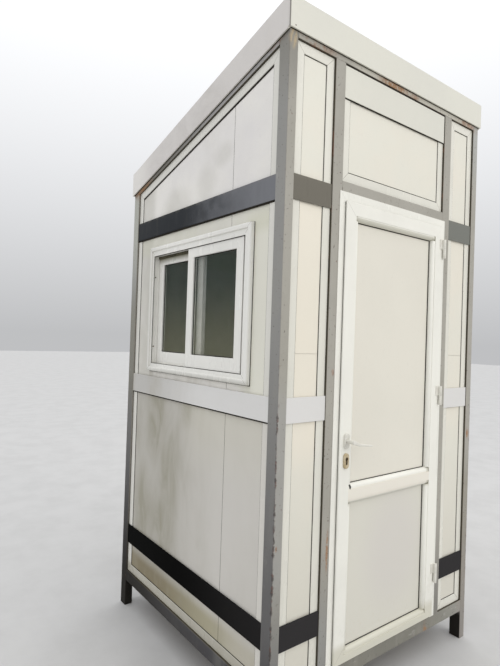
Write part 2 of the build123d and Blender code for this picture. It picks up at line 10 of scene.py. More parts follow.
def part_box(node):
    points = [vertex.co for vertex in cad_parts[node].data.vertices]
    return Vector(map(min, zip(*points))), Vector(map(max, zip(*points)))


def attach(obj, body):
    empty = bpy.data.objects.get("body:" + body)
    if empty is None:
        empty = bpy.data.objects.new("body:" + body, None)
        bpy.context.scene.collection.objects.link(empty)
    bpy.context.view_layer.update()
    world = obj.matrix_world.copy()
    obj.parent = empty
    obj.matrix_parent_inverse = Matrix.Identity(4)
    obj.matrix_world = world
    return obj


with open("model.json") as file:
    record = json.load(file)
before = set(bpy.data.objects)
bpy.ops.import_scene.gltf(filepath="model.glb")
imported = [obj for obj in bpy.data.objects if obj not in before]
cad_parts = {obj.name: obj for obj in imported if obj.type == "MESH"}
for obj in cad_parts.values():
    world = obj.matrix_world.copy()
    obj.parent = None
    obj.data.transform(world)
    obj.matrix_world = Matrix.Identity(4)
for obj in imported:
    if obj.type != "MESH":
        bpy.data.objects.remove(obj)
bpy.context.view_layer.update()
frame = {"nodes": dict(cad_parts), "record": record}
print("frame loaded:", len(frame["nodes"]), "nodes")

# Places read from the frame, in metres
cornersLow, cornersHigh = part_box("front_corner_posts")
leftX, rightX, frontY = cornersLow.x, cornersHigh.x, cornersLow.y
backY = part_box("back_corner_posts")[1].y
beamLow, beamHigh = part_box("front_bottom_beam")
sideBeamLow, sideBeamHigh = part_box("side_bottom_beams")
railLow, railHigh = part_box("front_top_rail")
backRailLow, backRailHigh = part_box("back_top_rail")
headerLow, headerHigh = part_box("door_header")
leafLow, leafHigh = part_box("door_leaf")
casingLow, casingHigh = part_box("left_window_frame")
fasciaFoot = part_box("front_fascia")[0]

tubeWide, tubeDeep = 0.06, 0.045
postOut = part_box("door_posts")[1].x
postIn = postOut - tubeWide
bayOut = rightX - tubeDeep       # where the bays beside the door end
sideNear, sideFar = frontY + tubeWide, backY - tubeWide
roofPitch = math.radians(14.9)
slope = math.tan(roofPitch)


def sideTop(y):  # underside of the sloping side rail
    return railLow.z - slope * (y - frontY)


class Wire:  # a socket that takes part in sums
    def __init__(self, finish, socket):
        self.finish = finish
        self.socket = socket

    def math(self, operation, *values):
        return self.finish.add("ShaderNodeMath", {"operation": operation}, dict(enumerate((self,) + values)))

    def __add__(self, other):
        return self.math("ADD", other)

    __radd__ = __add__

    def __mul__(self, other):
        return self.math("MULTIPLY", other)

    __rmul__ = __mul__

    def __sub__(self, other):
        return self.math("SUBTRACT", other)

    def __rsub__(self, other):
        return self.finish.add("ShaderNodeMath", {"operation": "SUBTRACT"}, {0: other, 1: self})

    def __abs__(self):
        return self.math("ABSOLUTE")

    def __or__(self, other):  # the larger of two masks
        return self.math("MAXIMUM", other)

    def ramp(self, low, high):  # 0 below low, 1 above high, smooth between
        sockets = {"Value": self, "From Min": low, "From Max": high}
        return self.finish.add("ShaderNodeMapRange", {"interpolation_type": "SMOOTHSTEP"}, sockets)

    def fall(self, low, high):  # 1 below low, 0 above high
        return 1 - self.ramp(low, high)

    def between(self, low, high, soft):  # 1 from low to high, fading over soft outside
        return self.ramp(low - soft, low) * self.fall(high, high + soft)

    def line(self, half):  # 1 on a thin line where the value is 0
        return abs(self).fall(half * 0.5, half)


class Finish:  # one material, its nodes and its colour so far
    def __init__(self, name, tones=None, **surface):
        self.tones = tones
        self.colour = None
        self.material = bpy.data.materials.new(name)
        self.material.use_nodes = True
        self.tree = self.material.node_tree
        self.surface = self.tree.nodes["Principled BSDF"]
        for key, value in surface.items():
            self.surface.inputs[key.replace("_", " ")].default_value = value
        self.place = self.add("ShaderNodeTexCoord", out="Object")
        axes = self.add("ShaderNodeSeparateXYZ", sockets={0: self.place})
        self.x, self.y, self.z = [Wire(self, socket) for socket in axes.socket.node.outputs]

    def add(self, kind, settings=None, sockets=None, out=0):
        made = self.tree.nodes.new(kind)
        for key, value in (settings or {}).items():
            setattr(made, key, value)
        for key, value in (sockets or {}).items():
            if isinstance(value, Wire):
                self.tree.links.new(value.socket, made.inputs[key])
            else:
                made.inputs[key].default_value = value
        return Wire(self, made.outputs[out])

    def vector(self, operation, *values, out=0):
        return self.add("ShaderNodeVectorMath", {"operation": operation}, dict(enumerate(values)), out)

    def noise(self, scale, detail=4, rough=0.6, stretch=None, warp=0):
        # stretch has a factor for each axis, or is one for the height alone
        place = self.place
        if stretch:
            place = self.vector("MULTIPLY", place, stretch if isinstance(stretch, tuple) else (1, 1, stretch))
        sockets = {"Vector": place, "Scale": scale, "Detail": detail, "Roughness": rough, "Distortion": warp}
        return self.add("ShaderNodeTexNoise", sockets=sockets)

    def blend(self, mask, first, second):  # of wires, numbers or names from the tones
        colours = [self.tones[c] if isinstance(c, str) else c for c in (first, second)]
        first, second = [(*c, 1) if isinstance(c, tuple) else c for c in colours]
        return self.add("ShaderNodeMix", {"data_type": "RGBA"}, {0: mask, 6: first, 7: second}, out=2)

    def coat(self, mask, tone):  # another colour over the colour so far
        self.colour = self.blend(mask, self.colour, tone)

    def spot(self, centre, size):  # 1 at the centre, 0 from one size away
        away = self.vector("DIVIDE", self.vector("SUBTRACT", self.place, centre), size)
        return self.vector("LENGTH", away, out="Value").fall(0.3, 1)

    def spots(self, places):  # the same for a list of centres and sizes
        mask = self.spot(*places[0])
        for centre, size in places[1:]:
            mask = mask | self.spot(centre, size)
        return mask

    def edges(self, radius):  # 1 along convex and concave edges
        rounded = self.add("ShaderNodeBevel", {"samples": 6}, {"Radius": radius})
        flat = self.add("ShaderNodeNewGeometry", out="Normal")
        return self.vector("DOT_PRODUCT", rounded, flat, out="Value").fall(0.86, 0.995)

    def corners(self, reach):  # 1 in corners and narrow gaps, where light is occluded: a mask for painted shade
        light = self.add("ShaderNodeAmbientOcclusion", {"samples": 6}, {"Distance": reach}, out="AO")
        return light.fall(0.35, 0.9)

    def feed(self, **inputs):
        for key, wire in inputs.items():
            self.tree.links.new(wire.socket, self.surface.inputs[key.replace("_", " ")])
        return self.material

    def done(self, roughness, height, strength, distance=0.001):  # the material with its bump
        sockets = {"Height": height, "Strength": strength, "Distance": distance}
        normal = self.add("ShaderNodeBump", sockets=sockets)
        return self.feed(Base_Color=self.colour, Roughness=roughness, Normal=normal)


def dimmed(colour, share):
    return tuple(channel * share for channel in colour)


# Grey gloss paint on the steel frame: scratched, chipped along the arrises, rust coming through
steel = {
    "grey": (0.403, 0.386, 0.342),
    "cloud": (0.352, 0.337, 0.294),
    "lowGrey": (0.17, 0.163, 0.15),
    "sideGrey": (0.305, 0.3, 0.285),
    "sideLow": (0.12, 0.117, 0.116),
    "sideFoot": (0.055, 0.053, 0.058),
    "sideRail": (0.42, 0.41, 0.405),
    "sideRailShade": (0.2, 0.19, 0.165),
    "backPost": (0.455, 0.46, 0.41),
    "backPostMid": (0.24, 0.225, 0.16),
    "backFoot": (0.02, 0.017, 0.008),
    "cool": (0.3, 0.32, 0.35),
    "coolFoot": (0.1, 0.12, 0.15),
    "paleHead": (0.46, 0.49, 0.5),
    "beamGreen": (0.235, 0.235, 0.165),
    "rightFoot": (0.36, 0.325, 0.295),
    "beamRight": (0.37, 0.365, 0.33),
    "legShade": (0.008, 0.004, 0.004),
    "underRoofShade": (0.25, 0.24, 0.213),
    "railGrey": (0.53, 0.51, 0.44),
    "dullTan": (0.2, 0.165, 0.11),
    "backBeamDirtAndShade": (0.022, 0.02, 0.016),
    "chip": (0.06, 0.05, 0.045),
    "chipRed": (0.16, 0.075, 0.06),
    "scratch": (0.5, 0.485, 0.45),
    "rust": (0.25, 0.145, 0.095),
    "orange": (0.34, 0.19, 0.095),
    "primer": (0.42, 0.29, 0.215),
    "tan": (0.55, 0.42, 0.24),
    "revealShade": (0.05, 0.04, 0.022),
    "revealRust": (0.16, 0.06, 0.03),
    "mossAndShade": (0.014, 0.012, 0.009),
    "rustSpots": [  # centre and size of each rusted patch
        ((-0.53, -0.654, 2.757), (0.13, 0.03, 0.06)),
        ((-0.04, -0.654, 2.75), (0.16, 0.03, 0.06)),
        ((0.1, -0.654, 2.75), (0.1, 0.03, 0.05)),
        ((0.58, -0.654, 2.745), (0.14, 0.03, 0.05)),
        ((-0.397, -0.654, 1.442), (0.012, 0.02, 0.02)),
        ((-0.438, -0.654, 1.403), (0.01, 0.02, 0.05)),
        ((-0.399, -0.654, 0.705), (0.011, 0.02, 0.12)),
        ((-0.676, -0.654, 0.776), (0.008, 0.02, 0.016)),
        ((0.666, -0.654, 1.1), (0.02, 0.02, 0.05)),
        ((0.321, -0.654, 0.15), (0.024, 0.02, 0.07)),
        ((0.43, -0.654, 0.125), (0.08, 0.03, 0.025)),
        ((-0.69, 0.6, 2.42), (0.03, 0.17, 0.09)),
        ((-0.69, -0.56, 2.74), (0.03, 0.09, 0.03)),
    ],
    "orangeSpots": [
        ((-0.399, -0.654, 0.7), (0.0075, 0.02, 0.1)),
        ((0.664, -0.654, 1.095), (0.012, 0.02, 0.03)),
        ((0.321, -0.654, 0.145), (0.014, 0.02, 0.045)),
        ((-0.69, 0.6, 2.42), (0.03, 0.14, 0.07)),
        ((-0.05, -0.654, 2.755), (0.12, 0.03, 0.04)),
    ],
    "tanSmear": ((-0.672, -0.654, 2.735), (0.026, 0.02, 0.06)),
    "revealDepth": 0.02,
}


def steelSides(f):  # the outer side faces, darker towards the ground and the back, with painted shade under the fascia and on the back of the side beams
    f.colour = f.blend(f.z.fall(0.3, 1.9), "sideGrey", "sideLow")
    f.coat(f.z.fall(0.1, 0.5), "sideFoot")
    sloping = (f.z + slope * (f.y - frontY)).ramp(railLow.z - 0.004, railLow.z + 0.001)
    # the sloping rail, with painted shade under the fascia towards the back
    railToneAndShade = f.blend(f.y.ramp(-0.2, 0.4), "sideRail", "sideRailShade")
    f.coat(sloping * f.y.ramp(sideNear - 0.002, sideNear + 0.002), railToneAndShade)
    backPost = f.y.ramp(sideFar - 0.002, sideFar + 0.002)
    f.coat(backPost * f.z.ramp(1.7, 2.15) * (1 - sloping) * 0.9, "backPost")
    f.coat(backPost * f.z.between(1.3, 1.65, 0.25) * 0.5, "backPostMid")
    f.coat(backPost * f.z.fall(0.2, 2) * 0.5, "sideFoot")
    f.coat(backPost * f.z.fall(1.2, 1.4) * (0.1 + 0.45 * f.z.fall(0.15, 0.5)), "backFoot")
    # dirt and painted shade on the side beams towards the back
    backBeamDirtAndShade = f.z.fall(beamHigh.z, beamHigh.z + 0.1) * f.y.ramp(-0.45, 0.5)
    f.coat(backBeamDirtAndShade * 0.75, "backBeamDirtAndShade")
    return f.colour


def steelFront(f, frontFrame, offSide):  # posts, rail and beam of the front frame
    cornerPosts = abs(f.x).ramp(bayOut - 0.005, bayOut)
    # painted shade at the top of the left corner post, under the roof
    underRoofShade = f.z.ramp(railLow.z - 0.3, railLow.z - 0.03) * frontFrame * cornerPosts * f.x.fall(-0.1, 0.1)
    f.coat(underRoofShade * 0.85, "underRoofShade")
    rail = f.z.ramp(railLow.z, railLow.z + 0.001) * frontFrame * (1 - cornerPosts)
    f.coat(rail * f.x.ramp(-0.4, -0.25) * 0.8, "railGrey")
    leftPost = f.x.fall(-0.645, -0.643) * frontFrame * offSide
    f.coat(leftPost * f.z.between(0.7, 1.25, 0.2) * 0.25, "cool")
    f.coat(leftPost * f.z.fall(0.3, 0.7) * 0.28, "coolFoot")
    frontBeam = f.z.between(beamLow.z, beamHigh.z, 0.001) * frontFrame * (1 - cornerPosts)
    f.coat(frontBeam * 0.22, "beamGreen")
    f.coat(frontBeam * f.x.ramp(0.35, 0.6) * 0.45, "beamRight")
    doorPostFoot = f.x.between(-postOut, -postIn, 0.001) * frontFrame * f.z.fall(0.35, 0.6)
    f.coat(doorPostFoot * 0.22, "paleHead")
    scuffs = f.noise(26, 4, 0.8, (0.3, 1, 1)).ramp(0.58, 0.68)
    f.coat(frontBeam * scuffs * 0.4, "scratch")
    rightPost = f.x.ramp(0.6, 0.62) * frontFrame * offSide
    f.coat(rightPost * f.z.ramp(2.35, 2.65) * 0.4, "paleHead")
    tanFoot = rightPost * f.z.between(0.3, 0.8, 0.2)
    f.coat(tanFoot * (0.1 + 0.4 * f.noise(12)), "dullTan")
    f.coat(rightPost * f.z.fall(0.25, 0.8) * 0.42, "rightFoot")


def steelPaint():
    f = Finish("steelPaint", steel, Roughness=0.45, Specular_IOR_Level=0.2)
    sideDepth = (f.x - leftX).math("MINIMUM", rightX - f.x)
    faceDepth = (f.y - frontY).math("MINIMUM", backY - f.y)
    side = sideDepth.fall(0.0005, 0.002)
    offSide, offFace = 1 - side, 1 - faceDepth.fall(0.0005, 0.002)
    frontFrame = f.y.fall(sideNear - 0.005, sideNear)
    low = f.z.fall(0.05, 0.85)
    sideColour = steelSides(f)
    f.colour = f.blend(f.noise(2.4, 5, 0.65).ramp(0.35, 0.72), "grey", "cloud")
    f.coat(low * 0.8, "lowGrey")
    f.coat(side, sideColour)
    steelFront(f, frontFrame, offSide)
    # painted shade on the inner faces of the legs below the beam
    f.coat(offSide * offFace * f.z.fall(beamLow.z - 0.02, beamLow.z) * 0.8, "legShade")
    runs = f.noise(9, 5, 0.65, 0.25).ramp(0.45, 0.75)
    f.coat(runs * (0.2 + 0.3 * low) * (1 - 0.8 * side * f.y.ramp(-0.5, -0.2)), "cloud")
    # moss low on the back, and painted shade on the inner faces under the beam
    back = f.y.ramp(0.1, 0.6) * f.z.fall(0.0, 1)
    underBeamShade = offSide * offFace * f.z.fall(beamLow.z - 0.03, beamLow.z)
    mossAndShade = (back * (0.8 + 0.4 * f.noise(11, 5, 0.7))) | underBeamShade
    f.coat(mossAndShade * 0.96, "mossAndShade")
    f.coat(f.noise(42, 3, 0.8, 0.22).ramp(0.66, 0.74) * 0.35, "scratch")
    grain = f.noise(75, 5, 0.72)
    rusty = f.noise(55, 5, 0.75)
    rust = f.spots(steel["rustSpots"]) * (rusty * 0.5 + f.noise(14) * 0.5).ramp(0.4, 0.58)
    f.coat(rust * 0.85, f.blend(grain.ramp(0.4, 0.6), "rust", "primer"))
    f.coat(f.spots(steel["orangeSpots"]) * rusty.ramp(0.36, 0.54) * 0.85, "orange")
    smear = f.spot(*steel["tanSmear"]) * f.noise(60, 4, 0.7, 0.3).ramp(0.35, 0.6)
    f.coat(smear * 0.9, "tan")
    revealShade = (0.0018, steel["revealDepth"], 0.0006)  # painted shade on the tubes' faces just inside the outer ones, rust-brown towards the top
    sideReveal = sideDepth.between(*revealShade) * offFace * (1 - 0.65 * f.y.ramp(0.5, 0.6))
    shadedReveals = (faceDepth.between(*revealShade) * offSide | sideReveal) * f.z.ramp(beamLow.z, beamLow.z + 0.002)
    rusting = f.noise(7, 4, 0.7).ramp(0.5, 0.62) * f.z.ramp(1.9, 2.2) * frontFrame * f.x.fall(0.5, 0.6)
    f.coat(shadedReveals * 0.9, f.blend(rusting * 0.8, "revealShade", "revealRust"))
    worn = f.edges(0.006) * f.noise(30, 4, 0.7).ramp(0.52, 0.62)
    specks = f.noise(120, 2, 0.5).ramp(0.68, 0.74) | f.noise(64, 3, 0.6, 0.5).ramp(0.7, 0.74)
    chipDepth = f.noise(34, 6, 0.85) * 0.045 - 0.0185
    arris = (sideDepth + faceDepth - chipDepth).fall(-0.001, 0.0015)
    arris = arris * f.z.between(0.2, 1.4, 0.1) * f.noise(4.5, 3).ramp(0.44, 0.5)
    chips = worn | specks | arris
    f.coat(chips * 0.8, f.blend(grain.ramp(0.52, 0.6), "chip", "chipRed"))
    height = grain * 0.5 - chips * 0.6 + rust * rusty
    return f.done(0.42 + rust * 0.4 + mossAndShade * 0.3, height, 0.35, 0.0008)


# White plastic profile: trims, door, frames and sashes
profile = {
    "white": (0.775, 0.76, 0.68),
    "leafWhite": (0.87, 0.86, 0.79),
    "casingWhite": (0.88, 0.87, 0.82),
    "casingGreyAndShade": (0.6, 0.59, 0.54),
    "sideTint": (0.74, 0.725, 0.685),
    "trimFoot": (0.42, 0.395, 0.32),
    "trimLow": (0.69, 0.665, 0.61),
    "leafFoot": (0.66, 0.64, 0.54),
    "railCream": (0.825, 0.785, 0.695),
    "beadShade": (0.5, 0.485, 0.38),
    "headShade": (0.13, 0.121, 0.04),
    "notch": ((-0.281, -0.664, 0.956), (0.009, 0.03, 0.016)),  # painted shade in the notch at the mid rail's left end: where it is, and its size
    "notchShade": (0.02, 0.019, 0.014),
    "dirtAndShade": (0.27, 0.245, 0.16),
    "splash": (0.52, 0.49, 0.39),
    "joint": (0.28, 0.265, 0.22),
    "trimWidth": 0.043,
    "mitreHalf": 0.00154,
}


trimWidth = profile["trimWidth"]


def mitres(f, across, low, high, width=trimWidth):  # lines at 45 degrees in a frame's corners
    near, far = low[0], high[0]
    fromSide = (across - near).math("MINIMUM", far - across)
    corners = []
    for level, sign in ((low[1], 1), (high[1], -1)):
        rise = (f.z - level) * sign
        corners.append((fromSide - rise).line(profile["mitreHalf"]) * rise.between(0, width, 0.0005))
    return corners[0] | corners[1]


def plasticWhite(name, white, joints=None, shades=None, dirtAndShade=0.5, tint=0, dull=0):
    f = Finish(name, profile, Roughness=0.3, IOR=1.48)
    f.colour = f.blend(f.noise(2.7, 5).ramp(0.4, 0.75), white, dimmed(profile[white], 0.93))
    runs = f.noise(7, stretch=0.3).ramp(0.5, 0.8)
    f.coat(runs * 0.04, "splash")
    if tint:
        f.coat(tint, "sideTint")
    f.coat(f.noise(38, 5, 0.7).ramp(0.48, 0.7) * f.z.fall(0.2, 0.62) * 0.2, "splash")
    if shades:
        shades(f)
    # grime and painted shade in the corners
    grimeAndShade = f.corners(0.022) * f.noise(30, 4, 0.7).ramp(0.25, 0.7)
    f.coat(grimeAndShade * dirtAndShade, "dirtAndShade")
    if joints:
        f.coat(joints(f) * 0.75, "joint")
    return f.done(0.27 + dull + runs * 0.12 + grimeAndShade * 0.3, f.noise(60, 2, 0.5), 0.03, 0.0004)


def trimShades(f):  # the side walls' lower trims, splashed from the ground
    nearFront = f.y.fall(frontY + 0.11, frontY + 0.12) * f.z.fall(1.22, 1.26)
    f.coat(nearFront * 0.95, "trimLow")
    mottle = 0.6 + f.noise(9) * 0.5
    f.coat(f.z.fall(beamHigh.z + 0.03, beamHigh.z + 0.08) * mottle, "trimFoot")


def leafShades(f):  # yellowed bottom and middle rails, painted shade on the beads and in the mid rail's notch
    d = doorTrim
    f.coat(f.z.fall(leafLow.z + 0.05, leafLow.z + 0.1) * 0.95, "leafFoot")
    within = f.x.between(-beadEnd, beadEnd, 0.001)
    railFoot, railHead = d["midRailFoot"], d["midRailFoot"] + d["midRail"]
    f.coat(f.z.between(railFoot - 0.008, railHead, 0.004) * within * 0.95, "railCream")
    beadFoot = railFoot - d["bead"]
    f.coat(f.z.between(beadFoot, beadFoot + 0.004, 0.014) * within * 0.4, "beadShade")
    rightEnds = f.z.between(railHead, railHead + 0.02, 0.002) | f.z.between(beadFoot, beadFoot + 0.02, 0.002)
    f.coat(rightEnds * f.x.between(beadEnd - 0.016, beadEnd, 0.003) * 0.5, "beadShade")
    f.coat(f.spot(*profile["notch"]).ramp(0.2, 0.6), "notchShade")
    headFoot = leafHigh.z - d["topRail"] - d["bead"]
    shade = f.z.between(headFoot - 0.001, headFoot + 0.014, 0.004) * within
    ends = abs(f.x).between(beadEnd - 0.009, beadEnd, 0.002)
    ends = f.z.between(headFoot, headFoot + d["bead"], 0.001) * ends
    f.coat((shade | ends) * 0.55, "beadShade")


def innerSashShades(f):  # painted olive shade under the head
    f.coat(f.z.ramp(casingHigh.z - 0.1, casingHigh.z - 0.055) * 0.9, "headShade")


def casingShades(f):  # the mould is greyer towards the back, with dirt and painted shade along its rounded foot
    mould = abs(f.x).ramp(rightX - 0.008, rightX - 0.004)
    foot = f.z.fall(casingLow.z + 0.006, casingLow.z + 0.026)
    greyerAndShaded = f.y.ramp(casingHigh.y - 0.2, casingHigh.y) * 0.45 | foot * 0.8
    f.coat(mould * greyerAndShaded, "casingGreyAndShade")


def bayJoints(f):  # front bays, one mirrored on the other
    lines = mitres(f, abs(f.x), (postOut, beamHigh.z), (bayOut, railLow.z))
    return lines * f.y.fall(frontY + 0.05, frontY + 0.055)


def transomJoints(f):
    return mitres(f, f.x, (-postIn, headerHigh.z), (postIn, railLow.z))


def leafJoints(f):  # the right-hand mitres are closed up with paint
    outer = mitres(f, f.x, (leafLow.x, leafLow.z), (leafHigh.x, leafHigh.z), 0.075)
    return outer * f.y.fall(frontY - 0.002, frontY + 0.002) * (0.1 + 0.45 * f.x.fall(-0.01, 0))


def frameJoints(f):  # the frame has no sill, so its lower corners lie below the beam's top
    inner = postIn + 0.016
    lines = mitres(f, f.x, (-inner, beamHigh.z - 0.1), (inner, headerLow.z + 0.016), 0.034)
    return lines * (0.1 + 0.15 * f.x.fall(-0.01, 0))


def casingJoints(f):
    return mitres(f, f.y, (casingLow.y, casingLow.z), (casingHigh.y, casingHigh.z), 0.042)


def casingPaint(name):
    return plasticWhite(name, "casingWhite", casingJoints, casingShades, dirtAndShade=0.12, tint=0.05)


def sideTrimJoints(f):  # square corners below, slanting ones above
    lower = mitres(f, f.y, (sideNear, beamHigh.z), (sideFar, 9))
    fromTop = (sideTop(f.y) - f.z) * math.cos(roofPitch)
    fromSide = (f.y - sideNear).math("MINIMUM", sideFar - f.y)
    upper = (fromSide - fromTop).line(profile["mitreHalf"]) * fromSide.between(0, trimWidth, 0.001)
    return lower | (upper * fromTop.between(0, trimWidth, 0.001))


# White sheets: panels, fascias and white bands
sheet = {
    "cream": (0.77, 0.755, 0.665),
    "creamCloud": (0.795, 0.755, 0.655),
    "creamLow": (0.685, 0.66, 0.575),
    "warm": (0.88, 0.81, 0.68),
    "fascia": (0.71, 0.7, 0.62),
    "fasciaCloud": (0.68, 0.67, 0.6),
    "fasciaSide": (0.67, 0.635, 0.61),
    "fasciaSmudge": (0.55, 0.52, 0.49),
    "sideWhite": (0.875, 0.85, 0.8),
    "lilac": (0.8, 0.775, 0.755),
    "nearCasing": (0.765, 0.755, 0.635),
    "smudge": (0.47, 0.455, 0.39),
    "lowFront": (0.63, 0.606, 0.56),
    "lowBack": (0.48, 0.46, 0.41),
    "lowSmudge": (0.285, 0.265, 0.19),
    "lowWarm": (0.63, 0.605, 0.5),
    "olive": (0.31, 0.28, 0.2),
    "footYellow": (0.45, 0.415, 0.305),
    "footStain": (0.39, 0.355, 0.22),
    "footBrown": (0.2, 0.16, 0.08),
    "smudgeSpots": [  # soft grey-green patches on the upper side walls
        ((0, -0.07, 2.3), (3, 0.13, 0.13)),
        ((0, 0.21, 2.25), (3, 0.2, 0.12)),
        ((0, -0.2, 2.4), (3, 0.12, 0.08)),
        ((0, 0.47, 1.9), (3, 0.14, 0.3)),
    ],
    "lowSpots": [  # and on the lower ones
        ((0, 0.35, 1.1), (3, 0.16, 0.3)),
        ((0, 0.2, 0.85), (3, 0.16, 0.4)),
        ((0, 0.49, 0.62), (3, 0.14, 0.32)),
        ((0, 0.25, 0.58), (3, 0.2, 0.25)),
        ((0, 0.04, 1.24), (3, 0.07, 0.17)),
    ],
    "yellow": (0.6, 0.54, 0.37),
    "oliveYellow": (0.55, 0.55, 0.38),
    "doorUpper": (0.785, 0.755, 0.665),
    "doorLower": (0.68, 0.665, 0.59),
    "pink": (0.65, 0.615, 0.58),
    "bandWhite": (0.74, 0.73, 0.71),
    "bandBack": (0.4, 0.385, 0.35),
    "dripAndShade": (0.38, 0.345, 0.255),
    "joint": (0.09, 0.08, 0.06),
}


def sheetBase(name, white, cloud):
    f = Finish(name, sheet, Roughness=0.36)
    f.colour = f.blend(f.noise(1.7, 5).ramp(0.38, 0.7), white, cloud)
    f.coat(f.noise(60, 4, 0.7).ramp(0.55, 0.8) * 0.12, "smudge")
    return f


def sheetEnd(f, dirtAndShade, dull=0):  # grime and painted shade in the corners, and the sheet's slight waves
    grimeAndShade = f.corners(0.03) * f.noise(26, 4, 0.7).ramp(0.25, 0.7)
    f.coat(grimeAndShade * dirtAndShade, "dripAndShade")
    waves = f.noise(300, 2, 0.5) * 0.06 + f.noise(2.2, 2, 0.4) * 2.5
    return f.done(0.32 + grimeAndShade * 0.3 + dull, waves, 0.12)


def frontPanel():
    f = sheetBase("frontPanel", "cream", "creamCloud")
    f.coat(f.noise(8, stretch=0.2).ramp(0.52, 0.8) * 0.06, "smudge")
    f.coat(f.z.between(1.2, 2.1, 0.2) * (0.6 - 0.5 * f.x.ramp(-0.1, 0.1)), "warm")
    f.coat(f.z.fall(0.3, 1.3), "creamLow")
    return sheetEnd(f, 0.15)


def sidePanel():
    f = sheetBase("sidePanel", "sideWhite", "lilac")
    lower = f.z.fall(1.3, 1.34)
    upper = 1 - lower
    back = f.y.ramp(-0.35, 0.35)
    smudges = f.noise(3.2, 4, 0.55, warp=0.6).ramp(0.42, 0.7)
    f.coat(smudges * upper * (0.06 + 0.3 * back), "smudge")
    f.coat(f.spots(sheet["smudgeSpots"]) * (0.08 + 0.36 * f.noise(9)), "smudge")
    f.coat(f.y.ramp(0.42, 0.5) * upper * 0.45, "smudge")
    f.coat(f.y.fall(-0.46, -0.36) * upper * f.z.fall(2.05, 2.15) * 0.7, "nearCasing")
    f.coat(lower, f.blend(back, "lowFront", "lowBack"))
    broad = f.noise(2.6, 4, 0.5, 0.55, 1.6).ramp(0.46, 0.7)
    wavy = f.noise(6, 4, 0.55, 0.4, 2.2).ramp(0.5, 0.72)
    f.coat((broad * 0.3 + wavy * 0.14) * lower * (0.2 + back * 0.8), "lowSmudge")
    swirls = f.noise(7, 4, 0.6, 0.35, 1.5).ramp(0.35, 0.65)
    f.coat(f.spots(sheet["lowSpots"]) * lower * (0.25 + 0.5 * swirls), "lowSmudge")
    f.coat(lower * f.z.ramp(0.85, 1.25) * f.y.fall(-0.1, 0.15) * 0.5, "lowWarm")
    fineRuns = f.noise(13, stretch=0.12).ramp(0.45, 0.75)
    f.coat(fineRuns * (0.02 + 0.08 * lower * back), "olive")
    underCasing = f.z.between(1.24, casingLow.z, 0.04) * f.y.between(casingLow.y, casingHigh.y, 0.01)
    f.coat(underCasing * (0.12 + fineRuns * 0.3) * (0.4 + 0.6 * back), "olive")
    # olive-yellow stain and painted shade just under the upper band
    underBandStainAndShade = f.z.between(2.04, 2.116, 0.06) * (0.5 + f.noise(8) * 0.6)
    f.coat(underBandStainAndShade * 0.4, "oliveYellow")
    foot = f.z.fall(0.3, 0.375)
    stained = f.y.ramp(-0.5, -0.2)
    footTone = f.blend(back, f.blend(stained, "footYellow", "footStain"), "footBrown")
    f.coat(foot * (0.6 + 0.25 * stained + 0.1 * back), footTone)
    drips = f.noise(11, 4, 0.65, 0.22).ramp(0.45, 0.7)
    f.coat(foot * drips * (0.12 + 0.15 * stained + 0.25 * back), "olive")
    return sheetEnd(f, 0.25, 0.08)


def doorPanel():
    f = sheetBase("doorPanel", "doorUpper", dimmed(sheet["doorUpper"], 0.965))
    lower = f.z.fall(0.9, 0.92)
    f.coat(lower * 0.8, "doorLower")
    f.coat(f.spot((0.06, frontY, 0.62), (0.3, 0.2, 0.36)) * lower * 0.6, "pink")
    f.coat(f.noise(8, stretch=0.2).ramp(0.55, 0.8) * 0.05, "smudge")
    dust = f.noise(45, 5, 0.7).ramp(0.5, 0.72) * f.z.fall(0.27, 0.5)
    f.coat(dust * 0.2, "yellow")
    return sheetEnd(f, 0.15)


def fasciaBoard():
    f = sheetBase("fasciaBoard", "fascia", "fasciaCloud")
    side = f.x.fall(leftX - 0.009, leftX - 0.004)
    f.coat(side * 0.9, "fasciaSide")
    brown = f.noise(4.2, 5, 0.65, warp=0.8).ramp(0.42, 0.66) * f.y.between(-0.35, 0.55, 0.2)
    f.coat(side * brown * 0.5, "fasciaSmudge")
    f.coat(f.noise(9, stretch=0.2).ramp(0.52, 0.8) * (0.03 + 0.05 * side), "dripAndShade")
    f.coat(side * f.y.ramp(0.45, 0.65) * 0.6, "sideWhite")
    corner = f.y.fall(fasciaFoot.y + 0.0035, fasciaFoot.y + 0.0045) * side  # joint of the corner's boards
    f.coat(corner * 0.85, "joint")
    return sheetEnd(f, 0.3)


def whiteBand():
    f = sheetBase("whiteBand", "bandWhite", dimmed(sheet["bandWhite"], 0.96))
    side = f.x.fall(leftX + 0.012, leftX + 0.02)
    runs = f.noise(5, stretch=0.5, warp=0.5).ramp(0.44, 0.72)
    back = side * f.y.ramp(-0.15, 0.5)
    f.coat(back * 0.6, "bandBack")
    f.coat(runs * (0.06 * side + 0.3 * back), "dripAndShade")
    return sheetEnd(f, 0.35)


# Dark boards of the bands, lightened with painted reflection towards the front
band = {
    "upper": (0.014, 0.017, 0.021),
    "upperNearReflection": (0.2, 0.205, 0.221),
    "upperFrontReflection": (0.175, 0.163, 0.135),
    "upperRightReflection": (0.19, 0.195, 0.175),
    "lower": (0.0016, 0.0016, 0.0014),
    "lowerNearReflection": (0.02, 0.019, 0.019),
    "lowerFrontReflection": (0.037, 0.035, 0.036),
    "dust": (0.28, 0.26, 0.2),
}


